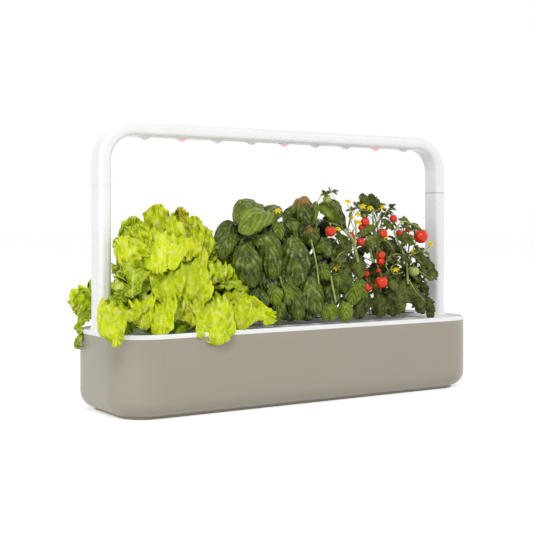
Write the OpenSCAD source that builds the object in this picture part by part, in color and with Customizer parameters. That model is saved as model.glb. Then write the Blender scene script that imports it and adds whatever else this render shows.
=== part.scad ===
// Countertop hydroponic garden with nine pods under a lamp arch.
// Millimetres, +Z up, +Y towards the back. The origin is the middle of the tank's underside.

/* [Tank] */
// Overall length of the tank and tray
body_len = 620; // [600:5:680]
// Overall depth of the tank and tray
body_dep = 185; // [175:5:210]
// Corner radius of the tank and tray, seen from above
corner_r = 55; // [50:1:60]
// Height of the tank's rim
tank_h = 108; // [100:1:125]
// Wall thickness of the tank
tank_wall = 2.6; // [2:0.1:3.2]
// Radius between the tank's walls and its floor, outside
foot_r = 24; // [18:1:28]
// Height of the plinth under the floor
plinth_h = 3; // [2:0.5:5]
// How far the plinth stands in from the tank's walls
plinth_inset = 20; // [16:1:26]
// Diameter of an anti-slip pad
pad_d = 16; // [12:1:20]
// Thickness of an anti-slip pad
pad_t = 1.6; // [1:0.1:2]
// Clearance round an anti-slip pad
pad_gap = 0.1; // [0.05:0.05:0.2]

/* [Tray] */
// Height of the tray's edge above the tank
edge_h = 6; // [5:0.5:8]
// Width of the round bead along the tray's edge
bead_w = 5; // [4:0.5:6]
// Thickness of the deck
deck_t = 3; // [2.4:0.1:4]
// Height of the deck's raised middle
plateau_h = 1.2; // [0.8:0.1:2]
// Depth of the deck's raised middle, front to back
plateau_dep = 96; // [80:1:100]
// How far the skirt reaches down into the tank
skirt_h = 12; // [8:1:16]
// Thickness of the skirt and of the ribs under the deck
skirt_t = 2; // [1.6:0.1:2.4]
// Clearance between the skirt and the tank's wall
skirt_gap = 0.6; // [0.4:0.1:1]
// Height of the ribs under the deck
rib_h = 8; // [5:1:12]
// Length of the filling port
port_len = 64; // [50:1:76]
// Width of the filling port
port_dep = 22; // [16:1:24]
// Middle of the filling port, to the right of the tray's middle
port_x = 100; // [80:1:110]
// Middle of the filling port and the level gauge, behind the tray's middle
port_y = 68; // [66:1:70]
// Width of the raised lip round the filling port
lip_w = 2; // [1.5:0.1:3]
// Height of the raised lip round the filling port
lip_h = 1.5; // [1:0.1:2]

/* [Pods] */
// Distance from an arm's middle to the nearest pod
pod_end = 66.25; // [60:0.25:72]
// Bore of a pod's socket
socket_d = 38; // [34:0.5:40]
// Width of the collar round a socket
collar_w = 3; // [2:0.5:4]
// Height of the collar above the raised middle
collar_h = 2; // [1:0.5:3]
// Clearance between a cup and its socket
cup_gap = 0.3; // [0.2:0.05:0.5]
// Wall thickness of a cup
cup_wall = 1.2; // [1:0.1:1.6]
// Depth of a cup below its flange
cup_h = 50; // [40:1:54]
// How much slimmer a cup is at its foot, on the radius
cup_taper = 4; // [2:0.5:6]
// How far the flange reaches past the socket
flange_w = 4; // [3:0.5:5]
// Thickness of the flange
flange_t = 1.6; // [1.2:0.1:2]
// Width of a slot in the cup's side
slot_w = 4; // [3:0.5:5]
// Height of a slot in the cup's side
slot_h = 30; // [20:1:34]
// Diameter of the hole in the cup's floor
drain_d = 12; // [8:1:14]
// Clearance between a plug and its cup
plug_gap = 0.1; // [0.05:0.05:0.2]

/* [Level gauge] */
// Middle of the level gauge, to the right of the tray's middle
gauge_x = 176; // [170:1:200]
// Outer diameter of the gauge's cage
cage_d = 26; // [22:1:28]
// Length of the cage below the deck's upper face
cage_h = 70; // [60:1:78]
// Wall thickness of the cage
cage_wall = 1.5; // [1.2:0.1:2]
// Clearance between the cage and the tray
cage_gap = 0.2; // [0.1:0.05:0.4]
// Thickness of the cage's flange and of its cap
cap_t = 1.5; // [1.2:0.1:2]
// Height of the float
float_h = 18; // [14:1:22]
// Clearance between the float and the cage
float_gap = 1; // [0.6:0.1:1.4]
// Diameter of the float's stem
stem_d = 4; // [3:0.5:5]
// Clearance between the stem and the cap
stem_gap = 0.3; // [0.2:0.05:0.5]

/* [Arms] */
// Thickness of an arm and of the lamp's bar
arm_t = 18.5; // [18:0.5:22]
// Width of an arm and of the lamp's bar, front to back
arm_w = 34; // [32:1:40]
// Corner radius of an arm
arm_r = 7; // [6:0.5:8]
// Wall thickness of an arm and of the lamp's housing
arm_wall = 2.2; // [1.8:0.1:2.4]
// How far an arm stands in from the tray's end
arm_inset = 0.5; // [0.5:0.5:3]
// Length of an arm between its joints
arm_len = 187; // [185:1:220]
// Length of the spigots between the arms and the lamp
spigot_h = 22; // [18:1:24]
// Length of an arm's spigot in the tray
foot_spigot_h = 12; // [8:1:13]
// Wall thickness of a spigot
spigot_wall = 1.8; // [1.4:0.1:2]
// Clearance round a spigot
spigot_gap = 0.15; // [0.1:0.05:0.25]
// Depth and height of the shadow groove round the top of an arm
seam_groove = 0.4; // [0.2:0.1:0.6]
// Height of the flare at an arm's foot, above the deck
flare_h = 14; // [10:1:16]
// Width that the flare adds on each side
flare_w = 5; // [4:0.5:5]

/* [Lamp] */
// Height of the lamp arch above its joints with the arms
lamp_h = 88; // [84:1:110]
// Outer radius of the arch's two bends
bend_r = 55; // [50:1:60]
// How far the cover under the bar stops short of the bends
cover_end = 4.5; // [3:0.5:8]
// Width of the cover under the bar
cover_w = 25; // [24:0.5:26]
// Thickness of the cover
cover_t = 2; // [1.6:0.1:2.4]
// Clearance round the cover
cover_gap = 0.2; // [0.1:0.05:0.3]
// Diameter of a lens
lens_d = 14; // [12:0.5:16]
// How far a lens hangs below its bezel
lens_drop = 3.6; // [2.5:0.1:4.5]
// Width of a bezel
bezel_w = 2; // [1.5:0.1:2.5]
// How far a bezel stands below the cover
bezel_h = 1.2; // [0.8:0.1:1.6]
// Clearance between a lens and its bezel
lens_gap = 0.05; // [0.02:0.01:0.1]
// Width of the LED board and the heat sink
board_w = 12; // [11:0.5:13]
// Thickness of a circuit board
board_t = 1.6; // [1.2:0.1:2]
// Thickness of the heat sink
sink_t = 2; // [1.5:0.1:2.4]
// Size of an LED
led_w = 3.5; // [3:0.1:5]
// Thickness of an LED
led_t = 0.8; // [0.6:0.1:1]
// Diameter of a cover screw's head
screw_head_d = 4.6; // [4:0.1:4.8]
// Diameter of a cover screw's shank
screw_d = 2.4; // [2:0.1:2.6]

/* [Light button and inlet] */
// Diameter of the light button
button_d = 12; // [10:0.5:13]
// How far the button stands above the bar
button_proud = 0.8; // [0.6:0.1:1.2]
// Travel of the button
button_travel = 0.6; // [0.4:0.1:0.7]
// Clearance round the button
button_gap = 0.2; // [0.1:0.05:0.3]
// Width of the switch under the button
switch_w = 6; // [5:0.5:7]
// Diameter of the switch's plunger
plunger_d = 3; // [2.5:0.1:3.4]
// Clearance round the plunger
plunger_gap = 0.06; // [0.04:0.01:0.1]
// Outer diameter of the direct-current inlet
inlet_d = 9; // [8:0.5:10]
// Bore of the direct-current inlet
inlet_bore = 5.5; // [5:0.1:6]
// Diameter of the inlet's centre pin
inlet_pin_d = 2.1; // [1.6:0.1:2.5]
// Height of the inlet above the lamp's joint
inlet_z = 24; // [18:1:28]
// Diameter of the lead from the inlet to the driver board
lead_d = 3; // [2.4:0.1:3.4]

/* [Plants] */
// Height of the tallest lettuce above its plug
lettuce_h = 172; // [150:1:180]
// Height of the tallest basil above its plug
basil_h = 174; // [150:1:180]
// Height of the tallest tomato above its plug
tomato_h = 188; // [160:1:192]
// Width of a lettuce leaf
lettuce_leaf_w = 52; // [40:1:56]
// Width of a basil leaf
basil_leaf_w = 48; // [36:1:52]
// Width of a tomato leaflet
leaflet_w = 24; // [18:1:30]
// Thickness of a leaf
leaf_t = 1.4; // [1:0.1:2]
// How far a lettuce leaf's edge waves up and down
leaf_ruffle = 2.5; // [1:0.1:4]
// Thickness of a stem
stalk_d = 4; // [3:0.5:5]
// Space kept between one plant and the next
plant_gap = 0.8; // [0.6:0.1:2]
// How far the plants reach in front of the tray's middle
front_reach = 100; // [90:1:104]
// How far the plants reach behind the tray's middle
back_reach = 50; // [40:1:50]

/* [Hidden] */
$fn = 64;
KINDS = ["lettuce", "basil", "tomato"];
PODS = [for (i = [0 : 8]) i];
POD_NAMES = [for (i = PODS) str(KINDS[floor(i / 3)], "_", i % 3 + 1)];
TOMATOES = [for (i = PODS) if (floor(i / 3) == 2) i];

TAUPE = [0.66, 0.63, 0.56];
WHITE = [0.97, 0.97, 0.97];
RUBBER = [0.12, 0.12, 0.12];
NET_GREY = [0.85, 0.86, 0.84];
PEAT = [0.2, 0.13, 0.08];
BLUE = [0.15, 0.4, 0.75];
LETTUCE_GREEN = [0.66, 0.8, 0.22];
BASIL_GREEN = [0.2, 0.42, 0.12];
TOMATO_GREEN = [0.15, 0.3, 0.12];
FRUIT_RED = [0.85, 0.1, 0.06];
BOARD_GREEN = [0.1, 0.4, 0.2];
METAL = [0.75, 0.76, 0.78];

// A cut passes this far beyond the face that it opens
CUT = 1;

// Heights of the tray
deck_z = tank_h + deck_t;
plateau_z = deck_z + plateau_h;
collar_z = plateau_z + collar_h;
edge_z = tank_h + edge_h;
// Top of a plug, where the plants grow from
crown_z = collar_z + flange_t;

// Arms and lamp
arm_x = body_len / 2 - arm_inset - arm_t / 2;
flare_z = deck_z + flare_h;
seam_z = flare_z + arm_len;
lamp_top = seam_z + lamp_h;
bar_z = lamp_top - arm_t;
bend_x = arm_x + arm_t / 2 - bend_r;
pod_pitch = (arm_x - pod_end) / 4;
cover_len = 2 * (bend_x - cover_end);
spigot_inset = arm_wall + spigot_gap;
spigot_floor = 3;
// The raised middle of the deck ends this far inside the bends
plateau_end = 2;

// Stack inside the bar, from the cover up
sink_rib_t = 2;
// Air between an LED and the cover's inner face
led_room = 1.2;
led_board_z = bar_z + cover_t + led_t + led_room;
sink_z = led_board_z + board_t;
// Distance from the last screw to the middle of the driver board
driver_step = 12.6;
driver_x = 3.5 * pod_pitch + driver_step;
driver_len = 28;
driver_z = sink_z + sink_t;
switch_h = 2.4;
bar_roof_z = lamp_top - arm_wall;
// Edge left between a screw's head and the cover's edge
screw_edge = 0.8;
boss_y = (cover_w - screw_head_d) / 2 - screw_edge;
boss_d = screw_head_d;
screw_stations = [for (k = [-3.5, -1.5, 1.5, 3.5], s = [-1, 1]) [k * pod_pitch, s * boss_y]];
// Thickness and width of the flange that keeps the button in
button_flange = [1.2, 1];
// Space below the button's foot and below the plunger at the end of the travel
press_room = 0.1;

// Pod number i stands at this place along the tray
function pod_x(i) = (i - 4) * pod_pitch;

// ---- Shared shapes ----

// Straight edge left at the round end of a slot
SLOT_FLAT = 0.5;

// Rounded rectangle, l along X and d along Y
module plan(l, d, r) {
    square([l - 2 * r, d], center = true);
    square([l, d - 2 * r], center = true);
    for (x = [-1, 1], y = [-1, 1]) translate([x * (l / 2 - r), y * (d / 2 - r)]) circle(r = r);
}

// Slot with round ends, l along X and d along Y, made larger all round by grow
module slot_plan(l, d, grow) plan(l + 2 * grow, d + 2 * grow, d / 2 + grow - SLOT_FLAT);

// Carries the side profile (a child, drawn outwards from a corner's centre) round a rounded rectangle.
// With core_h, the middle is filled up to that height.
module swept(l, d, r, core_h = 0) {
    for (s = [0, 180]) rotate([0, 0, s]) {
        translate([0, d / 2 - r, 0]) rotate([90, 0, 90])
            linear_extrude(l - 2 * r, center = true) children();
        rotate([0, 0, 90]) translate([0, l / 2 - r, 0]) rotate([90, 0, 90])
            linear_extrude(d - 2 * r, center = true) children();
        translate([l / 2 - r, d / 2 - r, 0]) rotate_extrude(angle = 90) children();
        translate([l / 2 - r, r - d / 2, 0]) rotate([0, 0, -90]) rotate_extrude(angle = 90) children();
    }
    if (core_h > 0) linear_extrude(core_h) square([l - 2 * r, d - 2 * r], center = true);
}

// Side profile of a tub: flat floor, round foot, straight wall
module tub_profile(r, h, foot) {
    square([r - foot, h]);
    translate([0, foot]) square([r, h - foot]);
    intersection() {
        translate([r - foot, foot]) circle(r = foot);
        translate([r - foot, 0]) square(foot);
    }
}

module tub(l, d, r, h, foot) {
    swept(l, d, r, core_h = h) tub_profile(r, h, foot);
}

// Cross-section of an arm, made smaller all round by inset
module arm_section(inset = 0) {
    plan(arm_t - 2 * inset, arm_w - 2 * inset, arm_r - inset);
}

// Floor and spigot, h long, at the lower end of an arm or a lamp leg, solid
module spigot_end(z, h) {
    translate([0, 0, z - h]) linear_extrude(h + CUT) arm_section(spigot_inset);
    translate([0, 0, z]) linear_extrude(spigot_floor) arm_section();
}

// The way through a spigot and its floor
module spigot_bore(z, h) {
    translate([0, 0, z - h - CUT])
        linear_extrude(h + spigot_floor + 2 * CUT) arm_section(spigot_inset + spigot_wall);
}

// ---- Tank ----

pad_stations = [for (x = [-1, 1], y = [-1, 1])
    [x * (body_len / 2 - corner_r), y * (body_dep / 2 - plinth_inset - pad_d)]];

module water_tank() color(TAUPE) difference() {
    union() {
        translate([0, 0, plinth_h]) tub(body_len, body_dep, corner_r, tank_h - plinth_h, foot_r);
        linear_extrude(plinth_h + tank_wall / 2)
            plan(body_len - 2 * plinth_inset, body_dep - 2 * plinth_inset, corner_r - plinth_inset);
    }
    translate([0, 0, plinth_h + tank_wall])
        tub(body_len - 2 * tank_wall, body_dep - 2 * tank_wall, corner_r - tank_wall, tank_h,
            foot_r - tank_wall);
    for (p = pad_stations) translate([p.x, p.y, -CUT])
        cylinder(d = pad_d + 2 * pad_gap, h = pad_t + CUT);
}

module anti_slip_pads() color(RUBBER)
    for (p = pad_stations) translate([p.x, p.y, 0]) cylinder(d = pad_d, h = pad_t);

// ---- Tray ----

// Deck and bead, drawn outwards from a corner's centre, with the deck's underside at 0
module deck_profile() {
    square([corner_r - bead_w / 2, deck_t]);
    translate([corner_r - bead_w, 0]) square([bead_w, edge_h - bead_w / 2]);
    translate([corner_r - bead_w / 2, edge_h - bead_w / 2]) circle(d = bead_w);
}

module skirt_profile() {
    translate([corner_r - tank_wall - skirt_gap - skirt_t, -skirt_h])
        square([skirt_t, skirt_h + deck_t / 2]);
}

// Concave flare round an arm's foot: an arc that leaves the arm upright
module flare_profile() {
    arc_r = (flare_w * flare_w + flare_h * flare_h) / (2 * flare_w);
    difference() {
        square([arm_r + flare_w, flare_h]);
        translate([arm_r + arc_r, flare_h]) circle(r = arc_r);
    }
}

module port_plan(grow) slot_plan(port_len, port_dep, grow);

// Space left below a spigot in the tray's socket
socket_room = 0.5;
socket_depth = foot_spigot_h + socket_room;

module grow_tray() color(WHITE) difference() {
    union() {
        translate([0, 0, tank_h]) {
            swept(body_len, body_dep, corner_r, core_h = deck_t) deck_profile();
            swept(body_len, body_dep, corner_r) skirt_profile();
        }
        // Raised middle with its nine collars
        translate([0, 0, tank_h]) linear_extrude(deck_t + plateau_h)
            plan(2 * (bend_x - plateau_end), plateau_dep, corner_r / 2);
        for (i = PODS) translate([pod_x(i), 0, tank_h])
            cylinder(d = socket_d + 2 * collar_w, h = collar_z - tank_h);
        // Ribs between the sockets, under the deck
        for (i = [0 : 7]) translate([pod_x(i + 0.5) - skirt_t / 2, -plateau_dep / 2, tank_h - rib_h])
            cube([skirt_t, plateau_dep, rib_h + deck_t / 2]);
        // Flares that hold the arms, flush with the arms' outer faces
        intersection() {
            for (s = [-1, 1]) translate([s * arm_x, 0, 0]) {
                translate([0, 0, deck_z - deck_t / 2]) linear_extrude(deck_t / 2 + CUT) arm_section();
                translate([0, 0, deck_z]) swept(arm_t, arm_w, arm_r, core_h = flare_h) flare_profile();
            }
            translate([-arm_x - arm_t / 2, -arm_w, tank_h]) cube([2 * arm_x + arm_t, 2 * arm_w, arm_len]);
        }
        translate([port_x, port_y, deck_z - CUT]) linear_extrude(lip_h + CUT) port_plan(lip_w);
    }
    for (i = PODS) translate([pod_x(i), 0, tank_h - CUT])
        cylinder(d = socket_d, h = collar_z - tank_h + 2 * CUT);
    for (s = [-1, 1]) translate([s * arm_x, 0, flare_z - socket_depth])
        linear_extrude(socket_depth + CUT) arm_section(arm_wall);
    translate([port_x, port_y, tank_h - CUT]) linear_extrude(deck_t + lip_h + 2 * CUT) port_plan(0);
    translate([gauge_x, port_y, tank_h - CUT]) cylinder(d = cage_d + 2 * cage_gap, h = deck_t + 2 * CUT);
}

// ---- Level gauge ----

cage_flange = 2.5;
cage_r = cage_d / 2;
cage_slot_w = 6;
cage_z = deck_z - cage_h;
float_z = cage_z + cage_wall;
float_r = cage_r - cage_wall - float_gap;
// The stem stands this far out of the cap when the tank is empty
stem_proud = 1;

module gauge_cage() color(WHITE) translate([gauge_x, port_y, 0]) difference() {
    union() {
        translate([0, 0, cage_z]) cylinder(r = cage_r, h = cage_h + cap_t);
        translate([0, 0, deck_z]) cylinder(r = cage_r + cage_flange, h = cap_t);
    }
    translate([0, 0, float_z]) cylinder(r = cage_r - cage_wall, h = cage_h + cap_t);
    translate([0, 0, cage_z - CUT]) cylinder(d = drain_d, h = cage_wall + 2 * CUT);
    for (a = [0, 90]) rotate([0, 0, a])
        translate([-cage_d, -cage_slot_w / 2, float_z + float_h / 2])
            cube([2 * cage_d, cage_slot_w, cage_h / 2]);
}

module gauge_cap() color(WHITE) translate([gauge_x, port_y, deck_z + cap_t]) difference() {
    cylinder(r = cage_r + cage_flange, h = cap_t);
    translate([0, 0, -CUT]) cylinder(d = stem_d + 2 * stem_gap, h = cap_t + 2 * CUT);
}

module level_float() color(NET_GREY) translate([gauge_x, port_y, float_z]) difference() {
    cylinder(r = float_r, h = float_h);
    translate([0, 0, float_h / 2]) cylinder(d = stem_d, h = float_h);
}

module level_stem() color(BLUE) translate([gauge_x, port_y, float_z + float_h / 2])
    cylinder(d = stem_d, h = deck_z + 2 * cap_t + stem_proud - float_z - float_h / 2);

// ---- Pods ----

cup_r = socket_d / 2 - cup_gap;
cup_z = collar_z - cup_h;
plug_z = cup_z + cup_wall;

// Inside of a cup, made smaller all round by gap, from its floor up to height h
module cup_inside(gap, h) {
    slope = cup_taper / cup_h;
    foot = cup_r - cup_taper - cup_wall - gap;
    translate([0, 0, plug_z]) cylinder(r1 = foot, r2 = foot + slope * h, h = h);
}

module pod_cup(i) color(NET_GREY) translate([pod_x(i), 0, 0]) difference() {
    union() {
        translate([0, 0, cup_z]) cylinder(r1 = cup_r - cup_taper, r2 = cup_r, h = cup_h);
        translate([0, 0, collar_z]) cylinder(r = socket_d / 2 + flange_w, h = flange_t);
    }
    cup_inside(0, crown_z - plug_z + CUT);
    translate([0, 0, cup_z - CUT]) cylinder(d = drain_d, h = cup_wall + 2 * CUT);
    for (a = [0 : 60 : 120]) rotate([0, 0, a]) translate([-socket_d, -slot_w / 2, plug_z + slot_w])
        cube([2 * socket_d, slot_w, slot_h]);
}

module pod_plug(i) color(PEAT) translate([pod_x(i), 0, 0]) cup_inside(plug_gap, crown_z - plug_z);

// ---- Plants ----

// A leaf's midrib at share t of its length, as [reach, height].
// It leaves at the angle rise and bends down by the angle droop.
function rib_point(len, rise, droop, t) =
    let (k = len / (droop * PI / 180))
    [k * (sin(rise) - sin(rise - droop * t)), k * (cos(rise - droop * t) - cos(rise))];

// A leaf's ends keep this share of its width
LEAF_END = 0.12;

// One blade as a closed shell that runs along +X from the origin. form is [broad, fold, ruffle]:
// broad above 1 puts the widest place nearer the tip, fold lifts the edges as a share of the half
// width, and ruffle waves them.
module leaf(len, wid, rise, droop, form, steps = 4) {
    section = [[-1, 0], [0, 0], [1, 0], [1, -leaf_t], [0, -leaf_t], [-1, -leaf_t]];
    n = 6;
    points = [for (s = [0 : steps])
        let (t = s / steps, p = rib_point(len, rise, droop, t), a = rise - droop * t)
        let (w = wid / 2 * max(sin(180 * pow(t, form[0])), LEAF_END))
        for (q = section)
            let (up = q.y + abs(q.x) * (form[1] * w + form[2] * (s % 2 == 0 ? 1 : -1)))
            [p.x - sin(a) * up, q.x * w, p.y + cos(a) * up]];
    sides = [for (s = [0 : steps - 1], j = [0 : n - 1])
        [s * n + j, s * n + (j + 1) % n, (s + 1) * n + (j + 1) % n, (s + 1) * n + j]];
    ends = [[for (j = [n - 1 : -1 : 0]) j], [for (j = [0 : n - 1]) steps * n + j]];
    polyhedron(points, concat(sides, ends), convexity = 6);
}

// Sides of a stalk, and its far end's diameter as a share of its near end's
STALK_SIDES = 5;
STALK_TAPER = 0.7;

// A stalk between two points
module stalk(from, to, d = stalk_d) {
    hull() {
        translate(from) cylinder(d = d, h = 1, center = true, $fn = STALK_SIDES);
        translate(to) cylinder(d = d * STALK_TAPER, h = 1, center = true, $fn = STALK_SIDES);
    }
}

// The space that the plant in pod i keeps to, so that it lifts past its neighbours, the arms and the gauge
module plant_space(i) {
    left = pod_x(i) - (pod_pitch - plant_gap) / 2;
    right = i == 8 ? arm_x - arm_t / 2 - plant_gap : pod_x(i) + (pod_pitch - plant_gap) / 2;
    translate([left, -front_reach, crown_z])
        cube([right - left, front_reach + back_reach, tomato_h + CUT]);
}

// Lettuce leaves, as [direction, length as a share of the plant's height, rise, droop]
LETTUCE_LEAVES = [[-118, 0.62, 50, 92], [-64, 0.66, 56, 88], [-96, 0.72, 72, 66], [84, 0.6, 70, 70],
    [-132, 0.98, 86, 40], [-48, 0.96, 84, 38], [60, 1.0, 88, 24], [-150, 1.02, 88, 14], [-84, 0.9, 80, 58],
    [118, 0.84, 82, 40]];
LETTUCE_FORM = [1.5, 0.25, leaf_ruffle];
// Height of each lettuce as a share of the tallest
LETTUCE_SIZES = [0.9, 1, 0.94];
// A lettuce leaf starts this far from the plant's axis
LETTUCE_HEART = 5;
// Height and sides of the dense heart between the leaves
LETTUCE_HEART_H = 40;
LETTUCE_HEART_SIDES = 10;

module lettuce(i) {
    tall = lettuce_h * LETTUCE_SIZES[i];
    foot = [pod_x(i), 0, crown_z];
    color(LETTUCE_GREEN) intersection() {
        plant_space(i);
        union() {
            translate(foot) cylinder(r = 3 * LETTUCE_HEART, h = LETTUCE_HEART_H, $fn = LETTUCE_HEART_SIDES);
            for (f = LETTUCE_LEAVES) {
                root = foot + [cos(f[0]), sin(f[0]), 1] * LETTUCE_HEART;
                translate(root) rotate([0, 0, f[0]])
                    leaf(tall * f[1], lettuce_leaf_w, f[2], f[3], LETTUCE_FORM);
                stalk(foot, root);
            }
            if (i == 0) {
                front_leaf();
                back_leaf();
            }
        }
    }
}

// The two outer leaves of the first lettuce pass in front of and behind the left arm
OUTER_LEAF = [94, 44];
OUTER_FORM = [1.3, 0.15, leaf_ruffle];
// Place of a leaf's root inside the split
OUTER_ROOT = 12;
// Each of the two as [root's height above the plug, direction, rise, droop]
FRONT_LEAF = [38, 190, 25, 95];
BACK_LEAF = [56, 180, 30, 110];
outer_leaf_y = arm_w / 2 + flare_w + OUTER_LEAF.y / 2;
outer_split_x = pod_x(-0.5);

module outer_leaf(y, set) {
    root = [outer_split_x + OUTER_ROOT, y, crown_z + set[0]];
    translate(root) rotate([0, 0, set[1]]) leaf(OUTER_LEAF.x, OUTER_LEAF.y, set[2], set[3], OUTER_FORM);
    stalk([pod_x(0), 0, crown_z], root);
}

module front_leaf() outer_leaf(stalk_d - outer_leaf_y, FRONT_LEAF);
module back_leaf() outer_leaf(outer_leaf_y, BACK_LEAF);

// The part of an outer leaf beyond the first lettuce's own space
module beyond_split() {
    intersection() {
        translate([outer_split_x - plant_gap / 2 - body_len, -body_dep, edge_z])
            cube([body_len, 2 * body_dep, lettuce_h]);
        children();
    }
}

module lettuce_1_front_leaf() color(LETTUCE_GREEN) beyond_split() front_leaf();
module lettuce_1_back_leaf() color(LETTUCE_GREEN) beyond_split() back_leaf();

// Basil leaves in pairs up the stem: a long pair across the tray, and below it a short pair along the tray
BASIL_PAIRS = 4;
// Length of the lowest and the highest long leaf
BASIL_LEAVES = [76, 52];
BASIL_FORM = [0.8, -0.3, 0];
// Rise and droop of a basil leaf
BASIL_BEND = [32, 84];
// Height of each basil as a share of the tallest
BASIL_SIZES = [1, 0.98, 0.8];
// The pairs stand between these shares of the height
BASIL_SPAN = [0.22, 0.9];
// A short pair stands this far below its long pair
BASIL_STEP = 14;
// Length and width of a short leaf as shares of a long one's
BASIL_SHORT = [0.5, 0.7];
// Turn between a long pair and the next, and turn of a short pair
BASIL_TURNS = [14, 10];
// Length, width, rise and droop of the youngest leaf, and how far it starts below a stem's top
TOP_LEAF = [34, 26, 82, 60];
TOP_ROOT = 5;

module basil(i) {
    tall = basil_h * BASIL_SIZES[i - 3];
    x = pod_x(i);
    top = crown_z + tall * BASIL_SPAN[1];
    color(BASIL_GREEN) intersection() {
        plant_space(i);
        union() {
            for (k = [1 : BASIL_PAIRS]) {
                z = crown_z + tall * (BASIL_SPAN[0] + (BASIL_SPAN[1] - BASIL_SPAN[0]) * k / BASIL_PAIRS);
                long = BASIL_LEAVES[0] + (BASIL_LEAVES[1] - BASIL_LEAVES[0]) * k / BASIL_PAIRS;
                for (a = [-90, 90]) translate([x, 0, z]) rotate([0, 0, a + BASIL_TURNS[0] * (k % 3 - 1)]) {
                    stalk([0, 0, -stalk_d], [stalk_d, 0, 0]);
                    translate([stalk_d / 2, 0, 0])
                        leaf(long, basil_leaf_w, BASIL_BEND[0], BASIL_BEND[1], BASIL_FORM);
                }
                if (k % 2 == 0) for (a = [0, 180])
                    translate([x, 0, z - BASIL_STEP]) rotate([0, 0, a + BASIL_TURNS[1]])
                        leaf(long * BASIL_SHORT[0], basil_leaf_w * BASIL_SHORT[1], BASIL_BEND[0],
                            BASIL_BEND[1], BASIL_FORM);
            }
            stalk([x, 0, crown_z], [x, 0, top]);
            top_leaf(x, top - TOP_ROOT, BASIL_FORM);
        }
    }
}

module top_leaf(x, z, form) {
    translate([x, 0, z]) rotate([0, 0, -90]) leaf(TOP_LEAF[0], TOP_LEAF[1], TOP_LEAF[2], TOP_LEAF[3], form);
}

// Tomato leaves up the stem, as [share of the height, direction, length]
TOMATO_LEAVES = [[0.2, -104, 92], [0.36, -68, 88], [0.46, 86, 56], [0.6, -110, 84], [0.8, -76, 70]];
TOMATO_FORM = [0.85, 0.1, 0];
// Height of each tomato plant as a share of the tallest, and of its stem as a share of the plant
TOMATO_SIZES = [0.94, 1, 0.9];
TOMATO_STEM = 0.92;
// Thickness of a leaf's rachis and of a fruit's stalk
RACHIS_D = 2.4;
FRUIT_STALK_D = 1.6;
// A fruit's stalk leaves the stem this far above the fruit's middle, and ends this far above its top
FRUIT_RISE = 10;
FRUIT_TIP = 0.8;

module tomato(i) {
    tall = tomato_h * TOMATO_SIZES[i - 6];
    x = pod_x(i);
    top = crown_z + tall * TOMATO_STEM;
    color(TOMATO_GREEN) intersection() {
        plant_space(i);
        union() {
            difference() {
                for (t = TOMATO_LEAVES) translate([x, 0, crown_z + tall * t[0]]) rotate([0, 0, t[1]])
                    compound_leaf(t[2]);
                for (f = fruits(i)) translate([f.x, f.y, f.z]) sphere(r = f[3] * FRUIT_ROOM, $fn = 10);
            }
            stalk([x, 0, crown_z], [x, 0, top]);
            for (f = fruits(i))
                stalk([x, 0, f.z + FRUIT_RISE], [f.x, f.y, f.z + f[3] + FRUIT_TIP], FRUIT_STALK_D);
            top_leaf(x, top - TOP_ROOT, TOMATO_FORM);
        }
    }
}

// End of the rachis, as a share of a tomato leaf's length
KNEE = [0.4, 0, 0.16];
// The two side leaflets and the end one, as [place along the rachis, direction, length as a share of
// the leaf's, width as a share of leaflet_w, rise, droop]
SIDE_LEAFLET = [0.7, 64, 0.36, 1, 10, 60];
END_LEAFLET = [0.96, 0, 0.68, 1.5, 5, 80];

module leaflet(len, knee, set, side, steps) {
    translate(knee * set[0]) rotate([0, 0, side * set[1]])
        leaf(len * set[2], leaflet_w * set[3], set[4], set[5], TOMATO_FORM, steps);
}

// A tomato leaf: a rising rachis with two side leaflets and a large one that droops from its tip
module compound_leaf(len) {
    knee = len * KNEE;
    stalk([0, 0, 0], knee, RACHIS_D);
    for (s = [-1, 1]) leaflet(len, knee, SIDE_LEAFLET, s, 3);
    leaflet(len, knee, END_LEAFLET, 1, 4);
}

// Fruits of the tomato in pod i, as [x, y, z, radius]. Their heights are above the plug.
FRUITS = [
    [[-18, 0, 116, 8], [-3, -46, 115, 6.5], [6, -40, 146, 7.5], [12, -44, 48, 8]],
    [[-16, -42, 130, 8], [-20, -40, 88, 7.5], [-18, -44, 54, 9], [5, -38, 152, 6.5]],
    [[3, -42, 124, 10], [-12, -44, 68, 8]]
];

// Leaves keep clear of a fruit by this multiple of its radius
FRUIT_ROOM = 1.2;

function fruits(i) = [for (f = FRUITS[i - 6]) [pod_x(i) + f.x, f.y, crown_z + f.z, f[3]]];

module tomato_fruit(i) color(FRUIT_RED) for (f = fruits(i)) translate([f.x, f.y, f.z]) sphere(r = f[3]);

// ---- Arms ----

module arm(s) color(WHITE) translate([s * arm_x, 0, 0]) difference() {
    union() {
        translate([0, 0, flare_z]) linear_extrude(arm_len - seam_groove) arm_section();
        translate([0, 0, seam_z - seam_groove - CUT])
            linear_extrude(seam_groove + CUT) arm_section(seam_groove);
        spigot_end(flare_z, foot_spigot_h);
    }
    translate([0, 0, flare_z + spigot_floor]) linear_extrude(arm_len) arm_section(arm_wall);
    spigot_bore(flare_z, foot_spigot_h);
}

// ---- Lamp ----

// The arch's run of tube, made smaller all round by inset
module arch(inset) {
    for (m = [0, 1]) mirror([m, 0, 0]) {
        translate([arm_x, 0, seam_z]) linear_extrude(lamp_h - bend_r) arm_section(inset);
        translate([bend_x, 0, lamp_top - bend_r]) rotate([90, 0, 0]) rotate_extrude(angle = 90)
            translate([bend_r - arm_t / 2, 0]) arm_section(inset);
    }
    bar(inset);
}

// The straight run between the two bends
module bar(inset) {
    translate([0, 0, lamp_top - arm_t / 2]) rotate([90, 0, 90])
        linear_extrude(2 * bend_x, center = true) rotate(90) arm_section(inset);
}

module cover_plan(grow) slot_plan(cover_len, cover_w, grow);

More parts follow.
